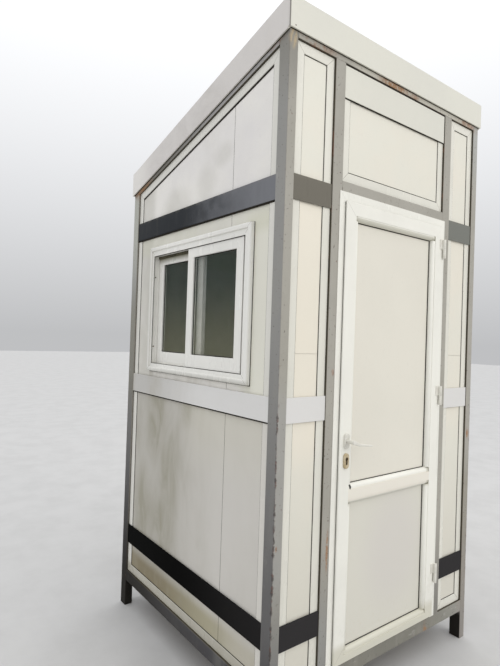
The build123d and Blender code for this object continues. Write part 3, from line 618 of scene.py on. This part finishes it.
def upperBand():
    f = Finish("upperBand", band, Roughness=0.24, Specular_IOR_Level=0.07)
    # painted reflection: the boards lighter towards the front corner, and on the front
    reflectionPatches = f.noise(4, warp=1).ramp(0.3, 0.7)
    f.colour = f.blend((f.y + reflectionPatches * 0.2).ramp(-0.55, 0.4), "upperNearReflection", "upper")
    frontReflection = f.blend(f.x.ramp(0, 0.1), "upperFrontReflection", "upperRightReflection")
    f.coat(f.y.fall(frontY + 0.008, frontY + 0.02), frontReflection)
    grain = f.noise(16, 5, 0.7, 0.15)
    f.coat(grain.ramp(0.5, 0.75) * 0.06, "dust")
    f.coat(f.z.ramp(2.2, 2.215) * f.noise(25, 4, 0.7).ramp(0.4, 0.7) * 0.25, "dust")
    return f.done(0.22 + grain * 0.16, f.noise(180, 3), 0.06, 0.0005)


def lowerBand():
    f = Finish("lowerBand", band, Roughness=0.38, Specular_IOR_Level=0.01)
    # painted reflection: a little lighter towards the front, and on the front
    f.colour = f.blend(f.y.ramp(-0.7, 0.12), "lowerNearReflection", "lower")
    f.coat(f.y.fall(frontY + 0.008, frontY + 0.02), "lowerFrontReflection")
    grain = f.noise(18, 5, 0.7)
    f.coat(grain.ramp(0.5, 0.75) * 0.006, "dust")
    return f.done(0.34 + grain * 0.2, f.noise(180, 3), 0.06, 0.0005)


# The other finishes
def speckled(name, first, second, roughness, metallic=0, scale=30, strength=0.2, coat=0):
    f = Finish(name, Roughness=roughness, Metallic=metallic, Coat_Weight=coat)
    cloud = f.noise(scale, 5, 0.65)
    f.colour = f.blend(cloud.ramp(0.35, 0.7), first, second)
    return f.done(roughness + cloud * 0.12, f.noise(scale * 9, 3), strength, 0.0006)


glass = {
    "green": (0.012, 0.06, 0.045),
    "olive": (0.33, 0.34, 0.2),
    "dust": (0.3, 0.29, 0.25),
    "bottom": 1.42,
    "top": 1.88,
    "cover": 0.145,
}


def paneGlass():
    f = Finish("paneGlass", glass, Roughness=0.05, Specular_IOR_Level=0.3)
    f.colour = f.blend(f.z.ramp(glass["bottom"], glass["top"]), "olive", "green")
    dust = f.noise(9, 5, 0.7)
    f.coat(dust.ramp(0.45, 0.75) * 0.06, "dust")
    alpha = glass["cover"] + dust.ramp(0.4, 0.8) * 0.05
    return f.feed(Base_Color=f.colour, Alpha=alpha, Roughness=0.04 + dust.ramp(0.45, 0.8) * 0.12)


roof = {
    "zinc": (0.52, 0.53, 0.525),
    "stain": (0.3, 0.29, 0.25),
    "dipDirtAndShade": (0.16, 0.145, 0.11),
}


def roofMetal():
    f = Finish("roofMetal", roof, Roughness=0.4, Metallic=0.35)
    f.colour = f.blend(f.noise(3, 5, 0.65).ramp(0.35, 0.7), "zinc", "stain")
    downhill = f.noise(16, 5, 0.7, (1, 0.08, 0.3)).ramp(0.45, 0.75)
    f.coat(downhill * 0.4, "stain")
    # dirt and painted shade in the creases
    f.coat(f.corners(0.05) * 0.6, "dipDirtAndShade")
    return f.done(0.38 + downhill * 0.3, f.noise(90), 0.15, 0.0007)


wood = {
    "light": (0.36, 0.25, 0.155),
    "dark": (0.2, 0.13, 0.075),
    "joint": (0.05, 0.035, 0.02),
    "dust": (0.42, 0.38, 0.31),
}


def floorWood():
    f = Finish("floorWood", wood, Roughness=0.6)
    rings = f.noise(7, 6, 0.7, (0.25, 4, 1), 0.7)
    f.colour = f.blend(rings.ramp(0.35, 0.65), "light", "dark")
    joint = (f.x - 0.02).line(0.0014)
    f.coat(joint, "joint")
    dust = f.noise(5, 5, 0.7).ramp(0.42, 0.75)
    f.coat(dust * 0.5, "dust")
    return f.done(0.5 + dust * 0.3, rings - joint, 0.3, 0.0008)


rubber = {
    "black": (0.016, 0.013, 0.009),
    "dusty": (0.052, 0.044, 0.03),
    "brown": (0.12, 0.06, 0.032),
}


def rubberSeal():
    f = Finish("rubberSeal", rubber, Roughness=0.7, Specular_IOR_Level=0.1)
    dust = f.noise(24, 5, 0.7).ramp(0.45, 0.72)
    f.colour = f.blend(dust * 0.7, "black", "dusty")
    return f.done(0.6 + dust * 0.25, f.noise(200, 3), 0.2, 0.0004)


def oldSealant():
    f = Finish("oldSealant", rubber, Roughness=0.75, Specular_IOR_Level=0.1)
    patch = f.noise(13, 5, 0.7)
    f.colour = f.blend(patch.ramp(0.4, 0.6), "black", "dusty")
    f.coat(f.noise(21, 4, 0.7).ramp(0.56, 0.7) * 0.8, "brown")
    return f.done(0.65 + patch * 0.2, f.noise(140, 4, 0.7), 0.4, 0.0008)


doorTrim = {
    "panelFront": 0.008,     # behind the steel's face
    "panelBack": 0.032,
    "gasketWidths": [0.003, 0.004, 0.0036, 0.0004],  # bottom, right, top, left
    "lowerGaskets": [0.003, 0.004, 0.0005, 0.0004],
    "gasketHeight": 0.0026,
    "stile": 0.062,
    "bead": 0.021,
    "topRail": 0.055,
    "bottomRail": 0.031,
    "midRailFoot": beamHigh.z + 0.698,
    "midRail": 0.042,
    "lip": 0.01,             # the leaf's lip round its body
    "lipBack": 0.008,
    "lipSeal": 0.0055,
    "lipSealHeight": 0.0028,
    "lipSealFoot": 0.004,    # above the leaf's lower edge
    "bodyHalf": 0.346,
    "jambHalf": 0.354,
    "headStop": 0.025,       # drop of the stop below the header
    "stopFront": 0.041,
    "stopSeal": 0.0042,
    "stopSealWidth": 0.007,
    "stopSealGap": 0.002,    # beside the jambs and under the head stop
}
beadEnd = leafHigh.x - doorTrim["stile"]

finishes = {
    "painted_steel": steelPaint(),
    "roof_metal": roofMetal(),
    "floor_wood": floorWood(),
    "window_glass": paneGlass(),
    "white_metal": speckled("whiteMetal", (0.76, 0.745, 0.68), (0.68, 0.66, 0.59), 0.32, coat=0.15),
    "brass_plate": speckled(
        "brassPlate", (0.64, 0.55, 0.39), (0.47, 0.37, 0.21), 0.3, metallic=0.4, scale=60,
    ),
    "lock_steel": speckled(
        "lockSteel", (0.09, 0.06, 0.03), (0.03, 0.022, 0.012), 0.35, metallic=0.8, scale=90,
    ),
    "bare_steel": speckled("bareSteel", (0.5, 0.49, 0.47), (0.36, 0.35, 0.33), 0.35, metallic=1, scale=70),
    "rubber": rubberSeal(),
    "sealant": oldSealant(),
    "greySeal": speckled("greySeal", (0.2, 0.19, 0.16), (0.12, 0.11, 0.09), 0.7),
    "pileAndShade": speckled("brushPileAndShade", (0.11, 0.1, 0.06), (0.05, 0.045, 0.028), 0.9, scale=40, strength=0.4),
    "casing": casingPaint("leftCasingWhite"),
}
dressed = {  # nodes that don't have the finish of their slot
    "door_side_trims": plasticWhite("bayTrimWhite", "white", bayJoints, dirtAndShade=0.15),
    "transom_trim": plasticWhite("transomTrimWhite", "white", transomJoints, dirtAndShade=0.15),
    "back_wall_trim": plasticWhite("backTrimWhite", "white"),
    "side_wall_trims": plasticWhite(
        "sideTrimWhite", "white", sideTrimJoints, trimShades, dirtAndShade=0.25, tint=0.5,
    ),
    "left_window_frame": finishes["casing"],
    "right_window_frame": casingPaint("rightCasingWhite"),
    "left_window_outer_sash right_window_outer_sash": plasticWhite(
        "outerSashWhite", "casingWhite", dirtAndShade=0.3, tint=0.1,
    ),
    "left_window_inner_sash right_window_inner_sash": plasticWhite(
        "innerSashWhite", "casingWhite", shades=innerSashShades, dirtAndShade=0.25, tint=0.15,
    ),
    "door_frame": plasticWhite("doorFrameWhite", "leafWhite", frameJoints, dirtAndShade=0.1),
    "door_leaf": plasticWhite("leafWhite", "leafWhite", leafJoints, leafShades, dirtAndShade=0.15, dull=0.14),
    "door_side_panels transom_panel": frontPanel(),
    "side_wall_panels back_wall_panel": sidePanel(),
    "door_panels": doorPanel(),
    "front_fascia side_fascias back_fascia transom_board": fasciaBoard(),
    "mid_white_bands": whiteBand(),
    "upper_dark_bands": upperBand(),
    "lower_dark_bands": lowerBand(),
}
nodeFinishes = {name: finish for names, finish in dressed.items() for name in names.split()}
for part in frame["record"]["subparts"]:
    node = frame["nodes"][part["node"]]
    finish = nodeFinishes.get(part["node"]) or finishes[part["material_slot"]]
    node.data.materials.clear()
    node.data.materials.append(finish)

# Sawn and cut edges broken a little: nodes by the width in metres
softEdges = {
    0.0012: "front_fascia side_fascias back_fascia floor_board",
    0.001: "left_window_outer_sash right_window_outer_sash left_window_inner_sash right_window_inner_sash",
    0.0008: "transom_board upper_dark_bands mid_white_bands lower_dark_bands door_frame lever_plates",
    0.0006: "door_leaf keyhole_plates hinge_frame_halves hinge_leaf_halves",
}
for width, names in softEdges.items():
    for name in names.split():
        node = frame["nodes"][name]
        weld = node.modifiers.new("joinFaces", "WELD")
        weld.merge_threshold = 0.00002
        soft = node.modifiers.new("softEdge", "BEVEL")
        soft.width = width
        soft.segments = 2
        soft.limit_method = "ANGLE"
        soft.angle_limit = math.radians(35)
        soft.harden_normals = True
        soft.use_clamp_overlap = True
    print("edges softened by", width, "m:", names)


# Walls' outer faces: across and up along the wall, out from the steel's face
def onFront(across, up, out):
    return Vector((across, frontY - out, up))


def onBack(across, up, out):
    return Vector((across, backY + out, up))


def onLeft(across, up, out):
    return Vector((leftX - out, across, up))


def onRight(across, up, out):
    return Vector((rightX + out, across, up))


def addObject(name, data):
    made = bpy.data.objects.new(name, data)
    bpy.context.scene.collection.objects.link(made)
    return made


def keepPiece(name, shape, finish, body="booth", smoothAngle=40):
    bmesh.ops.recalc_face_normals(shape, faces=shape.faces)
    mesh = bpy.data.meshes.new(name)
    shape.to_mesh(mesh)
    shape.free()
    mesh.shade_smooth()
    mesh.set_sharp_from_angle(angle=math.radians(smoothAngle))
    mesh.materials.append(finishes[finish])
    piece = addObject(name, mesh)
    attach(piece, body)


def forEach(outline, width):  # one width, or a list of them, as a list with one for each side
    return width if isinstance(width, list) else [width] * len(outline)


def inset(outline, width):  # a convex outline moved in
    middle = sum((Vector(p) for p in outline), Vector((0, 0))) / len(outline)
    lines = []
    for first, second, away in zip(outline, outline[1:] + outline[:1], forEach(outline, width)):
        first, second = Vector(first), Vector(second)
        normal = (second - first).orthogonal().normalized()
        if normal.dot(middle - first) < 0:
            normal = -normal
        lines.append((normal, normal.dot(first) + away))
    inner = []
    for (a, c), (b, d) in zip(lines[-1:] + lines[:-1], lines):
        cross = a.x * b.y - a.y * b.x
        inner.append(((c * b.y - d * a.y) / cross, (a.x * d - b.x * c) / cross))
    return inner


def rectangle(u0, u1, v0, v1):
    return [(u0, v0), (u1, v0), (u1, v1), (u0, v1)]


def raised(outline, place, out):  # an outline on a wall as points in space
    return [place(across, up, out) for across, up in outline]


def addLoops(shape, loops, closed=True):  # skin between loops of the same length
    rows = [[shape.verts.new(point) for point in loop] for loop in loops]
    count = len(rows[0])
    for a, b in zip(rows, rows[1:] + (rows[:1] if closed else [])):
        for i in range(count):
            j = (i + 1) % count
            shape.faces.new((a[i], a[j], b[j], b[i]))
    return rows


def addSolid(shape, loops):  # the same with a face at each end
    rows = addLoops(shape, loops, closed=False)
    shape.faces.new(rows[0])
    shape.faces.new(rows[-1])


crownShare = 0.3                 # of a strip's width or height, rounded off


def addRing(shape, outline, width, low, high, place):
    # mitred strip just inside an outline, crowned a little on its outer face
    widths = forEach(outline, width)
    crown = min(*widths, high - low) * crownShare
    top = high - crown
    steps = [(0, 0, low), (0, 0, top), (0, crown, high), (1, -crown, high), (1, 0, top), (1, 0, low)]
    loops = []
    for share, nudge, out in steps:
        loops.append(raised(inset(outline, [side * share + nudge for side in widths]), place, out))
    addLoops(shape, loops)


def addBar(shape, near, far, low, high, place):  # straight strip with a crowned face
    (u0, v0), (u1, v1) = near, far
    outline = rectangle(u0, u1, v0, v1)
    crown = min(u1 - u0, v1 - v0, high - low) * crownShare
    steps = [(outline, low), (outline, high - crown), (inset(outline, crown), high)]
    addSolid(shape, [raised(points, place, out) for points, out in steps])


wallSizes = {
    "panelRecess": 0.013,
    "trimRecess": 0.01,
    "frontGaskets": [0.0026, 0.0026, 0.0026, 0.0003],  # bottom, right or back, top, left or front
    "sideGaskets": [0.0026, 0.003, 0.0095, 0.0005],
    "gasketHeight": 0.0018,
    "sealWidths": [0.0012, 0.0018, 0.0018, 0.0005],
    "sealHeight": 0.0016,
    "boardSeal": 0.0068,
    "boardSealOut": (-0.001, 0.0006),
    "boardEndSeal": 0.003,
    "boardFootSeal": 0.0038,
    "boardFootFace": 0.0065,
    "jointWidth": 0.0013,
    "jointHeight": 0.0005,
    "sideJoint": 0.363,      # behind the front face
    "backJoint": 0.9,        # from the panel's right edge
    "bandShadows": {"upper_dark_bands": 0.007, "mid_white_bands": 0.006, "lower_dark_bands": 0.004},
    "bandShadowFace": 0.0048,
    "boardFoot": railLow.z - 0.141,
}


def wallGaskets():
    s = wallSizes
    sill = [(sideNear, beamHigh.z), (sideFar, beamHigh.z)]
    side = sill + [(sideFar, sideTop(sideFar)), (sideNear, sideTop(sideNear))]
    walls = [
        (rectangle(postOut, bayOut, beamHigh.z, railLow.z), onFront, "frontGaskets"),
        (rectangle(-bayOut, -postOut, beamHigh.z, railLow.z), onFront, "frontGaskets"),
        (rectangle(-postIn, postIn, headerHigh.z, railLow.z), onFront, "frontGaskets"),
        (rectangle(-bayOut, bayOut, beamHigh.z, backRailLow.z), onBack, "frontGaskets"),
        (side, onLeft, "sideGaskets"),
        (side, onRight, "sideGaskets"),
    ]
    gaskets, seals = bmesh.new(), bmesh.new()
    for outline, place, widths in walls:
        foot = -s["panelRecess"]
        addRing(gaskets, inset(outline, trimWidth), s[widths], foot, foot + s["gasketHeight"], place)
        # dark sealant where the trims meet the steel, standing also for the shade in the recess
        foot = -s["trimRecess"]
        addRing(seals, outline, s["sealWidths"], foot, foot + s["sealHeight"], place)
    keepPiece("wall_panel_gaskets", gaskets, "rubber")
    keepPiece("wall_edge_sealant_and_shade", seals, "sealant")


def wallJoints():  # where two panel sheets meet
    s = wallSizes
    joints = bmesh.new()
    sideAt, backAt = frontY + s["sideJoint"], bayOut - trimWidth - s["backJoint"]
    foot = beamHigh.z + trimWidth
    spans = []
    for place in (onLeft, onRight):
        spans.append((sideAt, foot, casingLow.z, place))
        spans.append((sideAt, casingHigh.z, sideTop(sideAt) - trimWidth, place))
    spans.append((backAt, foot, backRailLow.z - trimWidth, onBack))
    half, low = s["jointWidth"] / 2, -s["panelRecess"]
    for at, bottom, top, place in spans:
        addBar(joints, (at - half, bottom), (at + half, top), low, low + s["jointHeight"], place)
    keepPiece("sheet_joint_strips", joints, "sealant")


def bandShadowStrips():  # dark strips for the shade in the gaps under the side walls' boards
    s = wallSizes
    seals = bmesh.new()
    near, far = sideNear + 0.0005, sideFar - 0.0005
    for name, drop in s["bandShadows"].items():
        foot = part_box(name)[0].z
        for place in (onLeft, onRight):
            addBar(seals, (near, foot - drop), (far, foot), -s["panelRecess"], -s["bandShadowFace"], place)
    keepPiece("band_shadow_strips", seals, "rubber")


def transomSeal():  # under, over and right of the board over the door
    s = wallSizes
    seal = bmesh.new()
    foot, head = s["boardFoot"], railLow.z - s["boardSeal"]
    start = (-postIn + 0.002, foot - s["boardFootSeal"])
    addBar(seal, start, (postIn, foot), -s["trimRecess"], -s["boardFootFace"], onFront)
    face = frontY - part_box("transom_board")[0].y
    span = [face + out for out in s["boardSealOut"]]
    addBar(seal, (-postIn, head), (postIn, railLow.z), *span, onFront)
    addBar(seal, (postIn - s["boardEndSeal"], foot), (postIn, head), *span, onFront)
    keepPiece("transom_board_seal", seal, "rubber")


fasciaTrim = {
    "sideHeight": 0.125,     # of the side boards, across their slope
    "shadowDrop": 0.0016,
    "shadowOut": 0.004,
    "nailRadius": 0.0026,
    "nailHeight": 0.0012,
    "nailInset": 0.02,
    "nailRise": 0.011,       # above the board's lower edge
    "nailFoot": 0.01,        # the board's face, out from the steel's
}


def fasciaShadowStrips():
    # dark strips under the fascias' lower edges for the shade in the gap above the rails
    t = fasciaTrim
    drop = t["shadowDrop"]
    seal = bmesh.new()
    addBar(seal, (leftX, fasciaFoot.z - drop), (rightX, fasciaFoot.z), 0, t["shadowOut"], onFront)
    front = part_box("side_fascias")[1].z - t["sideHeight"] / math.cos(roofPitch)
    back = front - slope * (backY - frontY)
    outline = [(frontY, front - drop), (backY, back - drop), (backY, back), (frontY, front)]
    for place in (onLeft, onRight):
        addSolid(seal, [raised(outline, place, 0), raised(outline, place, t["shadowOut"])])
    keepPiece("fascia_shadow_strips", seal, "sealant")


def addDome(shape, centre, normal, radius, height, sides=14):  # low round head
    normal = normal.normalized()
    first = normal.orthogonal().normalized()
    second = normal.cross(first)
    loops = []
    for reach, out in ((1, -0.1), (1, 0.25), (0.86, 0.68), (0.5, 0.95)):
        loop = []
        for i in range(sides):
            turn = 2 * math.pi * i / sides
            spoke = math.cos(turn) * first + math.sin(turn) * second
            loop.append(centre + spoke * (radius * reach) + normal * (height * out))
        loops.append(loop)
    addSolid(shape, loops)


toFront = Vector((0, -1, 0))


def fasciaNails():
    t = fasciaTrim
    nails = bmesh.new()
    at = onFront(leftX + t["nailInset"], fasciaFoot.z + t["nailRise"], t["nailFoot"])
    addDome(nails, at, toFront, t["nailRadius"], t["nailHeight"])
    keepPiece("fascia_nails", nails, "lock_steel")


welds = {
    "radius": 0.0032,
    "proud": 0.45,           # share of the radius that stands out of the steel
    "sunk": 0.12,            # and the share by which the bead's edges lie in it
    "ripple": 0.0042,
    "valley": 0.78,          # share of the radius between two ripples
    "ends": 0.35,
    "least": 0.85,           # each ripple is this large, or larger by up to the spread
    "spread": 0.3,
    "sides": 7,
    "endGap": 0.004,         # from the joint's ends
    "seed": 11,
}


def addWeld(shape, place, foot, head, dice):  # run of overlapping ripples along a butt joint
    start, end = place(*foot, 0), place(*head, 0)
    normal = (place(0, 0, 1) - place(0, 0, 0)).normalized()
    run = end - start
    across = normal.cross(run.normalized())
    count = max(4, int(run.length / welds["ripple"]) * 2)
    loops = []
    for i in range(count + 1):
        at = start + run * (i / count)
        swell = 1.0 if i % 2 else welds["valley"]
        swell *= welds["least"] + welds["spread"] * dice.random()
        if i in (0, count):
            swell = welds["ends"]
        radius = welds["radius"] * swell
        loop = []
        for k in range(welds["sides"]):
            turn = math.pi * k / (welds["sides"] - 1)
            out = math.sin(turn) * welds["proud"] - welds["sunk"]
            loop.append(at + across * (math.cos(turn) * radius) + normal * (out * radius))
        loops.append(loop)
    addSolid(shape, loops)


def weldBeads():
    shape = bmesh.new()
    dice = random.Random(welds["seed"])
    gap = welds["endGap"]
    beam, rail, header = beamHigh.z, railLow.z, headerHigh.z
    seams = [  # across and up at both ends, on the right; the same on the left
        (onFront, (bayOut, beamLow.z + gap), (bayOut, beam - 0.002)),
        (onFront, (bayOut, rail + 0.003), (bayOut, railHigh.z - gap)),
        (onFront, (postIn + gap, beam), (postOut - gap, beam)),
        (onFront, (postIn + gap, rail), (postOut - gap, rail)),
        (onFront, (postIn, header - 0.03), (postIn, header - gap)),
        (onBack, (bayOut, beamLow.z + gap), (bayOut, beam - gap)),
        (onBack, (bayOut, backRailLow.z + gap), (bayOut, backRailHigh.z - gap)),
    ]
    for sign in (-1, 1):
        for place, foot, head in seams:
            addWeld(shape, place, (sign * foot[0], foot[1]), (sign * head[0], head[1]), dice)
    for place in (onLeft, onRight):
        for y in (sideBeamLow.y, sideBeamHigh.y):
            addWeld(shape, place, (y, beamLow.z + gap), (y, beam - gap), dice)
            addWeld(shape, place, (y, sideTop(y) + gap), (y, sideTop(y) + tubeDeep), dice)
    keepPiece("weld_beads", shape, "painted_steel", smoothAngle=60)


def onInside(across, up, out):  # on the back of the door's panels
    return Vector((across, frontY + doorTrim["panelBack"] + out, up))


def doorGaskets():
    d = doorTrim
    half = beadEnd - d["bead"]
    railHead = d["midRailFoot"] + d["midRail"]
    lower = rectangle(-half, half, leafLow.z + d["bottomRail"] + d["bead"], d["midRailFoot"] - d["bead"])
    upper = rectangle(-half, half, railHead + d["bead"], leafHigh.z - d["topRail"] - d["bead"])
    gaskets = bmesh.new()
    for outline, widths in ((lower, d["lowerGaskets"]), (upper, d["gasketWidths"])):
        foot = -d["panelFront"]
        addRing(gaskets, outline, widths, foot, foot + d["gasketHeight"], onFront)
        addRing(gaskets, outline, widths, 0, d["gasketHeight"], onInside)
    keepPiece("door_panel_gaskets", gaskets, "rubber", "door")


def addOpenStrip(shape, half, foot, head, width, low, high):
    # strip up one side, across the head and down the other, with mitred corners
    rows = []
    for step, out in ((0, low), (0, high), (width, high), (width, low)):
        side, top = half - step, head - step
        points = [(-side, foot), (-side, top), (side, top), (side, foot)]
        rows.append([shape.verts.new(point) for point in raised(points, onFront, out)])
    for a, b in zip(rows, rows[1:] + rows[:1]):
        for i in range(3):
            shape.faces.new((a[i], a[i + 1], b[i + 1], b[i]))
    for i in (0, 3):
        shape.faces.new([row[i] for row in rows])


def doorSeals():
    d = doorTrim
    lip, stop = bmesh.new(), bmesh.new()
    wide, back = d["lipSeal"], d["lipBack"]
    head = leafHigh.z - d["lip"] + wide
    foot = leafLow.z + d["lipSealFoot"]
    addOpenStrip(lip, d["bodyHalf"] + wide, foot, head, wide, back - d["lipSealHeight"], back)
    keepPiece("leaf_lip_seal", lip, "greySeal", "door")
    gap, front = d["stopSealGap"], -d["stopFront"]
    foot, head = beamHigh.z + 0.001, headerLow.z - d["headStop"] - gap
    addOpenStrip(stop, d["jambHalf"] - gap, foot, head, d["stopSealWidth"], front, front + d["stopSeal"])
    keepPiece("frame_stop_seal", stop, "rubber")


windowTrim = {
    "casing": 0.042,
    "casingHead": 0.05,
    "brushWidths": [0.0028, 0.0012, 0.0028, 0.0028],
    "brushOut": (-0.001, 0.0012),
    "headPileShade": 0.014,      # drop of the dark pile over the inner sash, which stands also for the shade in the head's track
    "headPileShadeOut": (-0.0305, -0.0235),
    "panes": {"outer": 0.012, "inner": 0.042},  # glass behind the steel's face
    "beadWidth": 0.0032,
    "beadHeight": 0.0022,
    "stile": 0.052,
    "sillRail": 0.07,
    # sealant round the casing, wider at the foot and front to stand also for the shade there
    "sealWidths": [0.0036, 0.001, 0.0008, 0.0018],  # bottom, back, top, front
    "sealFace": 0.0105,
    "liner": (0.0065, 0.0085),  # faces of the back jamb's liner, behind the clear opening
    "linerOut": (-0.0295, -0.004),
    "screwRadius": 0.0038,
    "screwHeight": 0.002,
    "screwRises": (0.133, 0.511),
    "screwDepth": 0.012,
}


def windowSeals():
    w = windowTrim
    seals, sealant, screws, pileShadeStrips, liners = [bmesh.new() for _ in range(5)]
    outer = rectangle(casingLow.y, casingHigh.y, casingLow.z, casingHigh.z)
    clear = inset(outer, [w["casing"], w["casing"], w["casingHead"], w["casing"]])
    around = inset(outer, [-side for side in w["sealWidths"]])
    clearTop = casingHigh.z - w["casingHead"]
    jamb = casingHigh.y - w["casing"]
    near, far = [jamb + away for away in w["liner"]]
    linerFoot, linerHead = (near, casingLow.z + w["casing"] + 0.001), (far, clearTop - 0.001)
    for side, place in (("left", onLeft), ("right", onRight)):
        addRing(seals, clear, w["brushWidths"], *w["brushOut"], place)
        addRing(sealant, around, w["sealWidths"], -wallSizes["panelRecess"], -w["sealFace"], place)
        # dark pile under the head, standing also for the shade above the inner sash
        pileShadeFoot = (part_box(f"{side}_window_outer_sash")[1].y + 0.001, clearTop - w["headPileShade"])
        addBar(pileShadeStrips, pileShadeFoot, (jamb - 0.0005, clearTop - 0.0002), *w["headPileShadeOut"], place)
        for sash, pane in w["panes"].items():
            low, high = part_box(f"{side}_window_{sash}_sash")
            u0, u1 = low.y + w["stile"], high.y - w["stile"]
            v0, v1 = low.z + w["sillRail"], high.z - w["stile"]
            addRing(seals, rectangle(u0, u1, v0, v1), w["beadWidth"], -pane, -pane + w["beadHeight"], place)
        addBar(liners, linerFoot, linerHead, *w["linerOut"], place)
        for rise in w["screwRises"]:
            at = place(near, casingLow.z + rise, -w["screwDepth"])
            addDome(screws, at, toFront, w["screwRadius"], w["screwHeight"])
    keepPiece("window_seals", seals, "rubber")
    keepPiece("window_head_pile_shades", pileShadeStrips, "pileAndShade")
    keepPiece("window_jamb_liners", liners, "casing")
    keepPiece("window_edge_sealant_and_shade", sealant, "sealant")
    keepPiece("window_frame_screws", screws, "lock_steel")


roofTrim = {
    "rows": 4,
    "ribPitch": 0.25,
    "ribs": 5,
    "endGap": 0.08,          # from the steel frame's faces to the first and last row
    "washer": 0.0095,
    "washerHeight": 0.0016,
    "head": 0.0055,
    "headFoot": 0.0014,      # above the rib
    "headHeight": 0.005,
}


def roofScrews():
    r = roofTrim
    shape = bmesh.new()
    normal = Vector((0, math.sin(roofPitch), math.cos(roofPitch)))
    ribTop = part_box("roof_sheet")[1].z
    length = backY - frontY - 2 * r["endGap"]
    for column in range(r["ribs"]):
        x = (column - (r["ribs"] - 1) / 2) * r["ribPitch"]
        for row in range(r["rows"]):
            y = frontY + r["endGap"] + row * length / (r["rows"] - 1)
            at = Vector((x, y, ribTop - slope * (y - frontY)))
            addDome(shape, at, normal, r["washer"], r["washerHeight"], 16)
            addDome(shape, at + normal * r["headFoot"], normal, r["head"], r["headHeight"], 6)
    keepPiece("roof_screws", shape, "bare_steel")


for makeIt in (
    wallGaskets, wallJoints, bandShadowStrips, transomSeal, fasciaShadowStrips, fasciaNails, weldBeads, doorGaskets,
    doorSeals, windowSeals, roofScrews,
):
    makeIt()
    print("made:", makeIt.__name__)

studio = {
    "floorReach": 40,
    "floor": (0.56, 0.555, 0.545),
    "floorCloud": (0.52, 0.515, 0.505),
    "sky": (0.95, 0.96, 0.98),
    "skyLow": 0.55,          # strength at and below the horizon
    "skyHigh": 1.6,          # and overhead
    "keyPlace": (2.0, -5.8, 4.6),
    "keyAim": (0, 0, 1.3),
    "keySize": 4.5,
    "keyPower": 85,
    "keyColour": (1, 0.95, 0.87),
}
camera = {
    "place": (-1.2431, -1.4387, 1.571),  # from the front left corner's arris on the ground
    "yaw": math.radians(37.377),
    "pitch": math.radians(0.614),
    "roll": math.radians(1.912),
    "focalPixels": 501.86,
    "longSidePixels": 666,
    "sensor": 36,
    "clip": (0.05, 200),
}


def makeStudio():
    reach = studio["floorReach"]
    corners = [(x, y, 0) for x, y in rectangle(-reach, reach, -reach, reach)]
    mesh = bpy.data.meshes.new("studioFloor")
    mesh.from_pydata(corners, [], [(0, 1, 2, 3)])
    finish = speckled("studioFloor", studio["floor"], studio["floorCloud"], 0.75, scale=3, strength=0.05)
    mesh.materials.append(finish)
    floor = addObject("studioFloor", mesh)
    world = bpy.data.worlds.new("studioWorld")
    world.use_nodes = True
    tree = world.node_tree
    background = tree.nodes["Background"]
    background.inputs["Color"].default_value = (*studio["sky"], 1)
    direction = tree.nodes.new("ShaderNodeTexCoord")
    axes = tree.nodes.new("ShaderNodeSeparateXYZ")
    height = tree.nodes.new("ShaderNodeMapRange")
    height.inputs["To Min"].default_value = studio["skyLow"]
    height.inputs["To Max"].default_value = studio["skyHigh"]
    tree.links.new(direction.outputs["Generated"], axes.inputs[0])
    tree.links.new(axes.outputs["Z"], height.inputs["Value"])
    tree.links.new(height.outputs[0], background.inputs["Strength"])
    bpy.context.scene.world = world
    light = bpy.data.lights.new("keyLight", "AREA")
    light.shape = "DISK"
    light.size = studio["keySize"]
    light.energy = studio["keyPower"]
    light.color = studio["keyColour"]
    key = addObject("keyLight", light)
    key.location = studio["keyPlace"]
    aim = Vector(studio["keyAim"]) - key.location
    key.rotation_euler = aim.to_track_quat("-Z", "Y").to_euler()


def makeCamera():
    data = bpy.data.cameras.new("photoCamera")
    data.sensor_width = camera["sensor"]
    data.lens = camera["focalPixels"] / camera["longSidePixels"] * camera["sensor"]
    data.clip_start, data.clip_end = camera["clip"]
    body = addObject("photoCamera", data)
    yaw, pitch, roll = camera["yaw"], camera["pitch"], camera["roll"]
    forward = Vector((math.sin(yaw) * math.cos(pitch), math.cos(yaw) * math.cos(pitch), math.sin(pitch)))
    level = Vector((math.cos(yaw), -math.sin(yaw), 0))
    upright = level.cross(forward)
    right = math.cos(roll) * level + math.sin(roll) * upright
    up = -math.sin(roll) * level + math.cos(roll) * upright
    turn = Matrix((right, up, -forward)).transposed().to_4x4()
    place = Vector((leftX, frontY, 0)) + Vector(camera["place"])
    body.matrix_world = Matrix.Translation(place) @ turn
    bpy.context.scene.camera = body
    bpy.context.scene.view_settings.view_transform = "Standard"


makeStudio()
makeCamera()
print("studio and camera set")
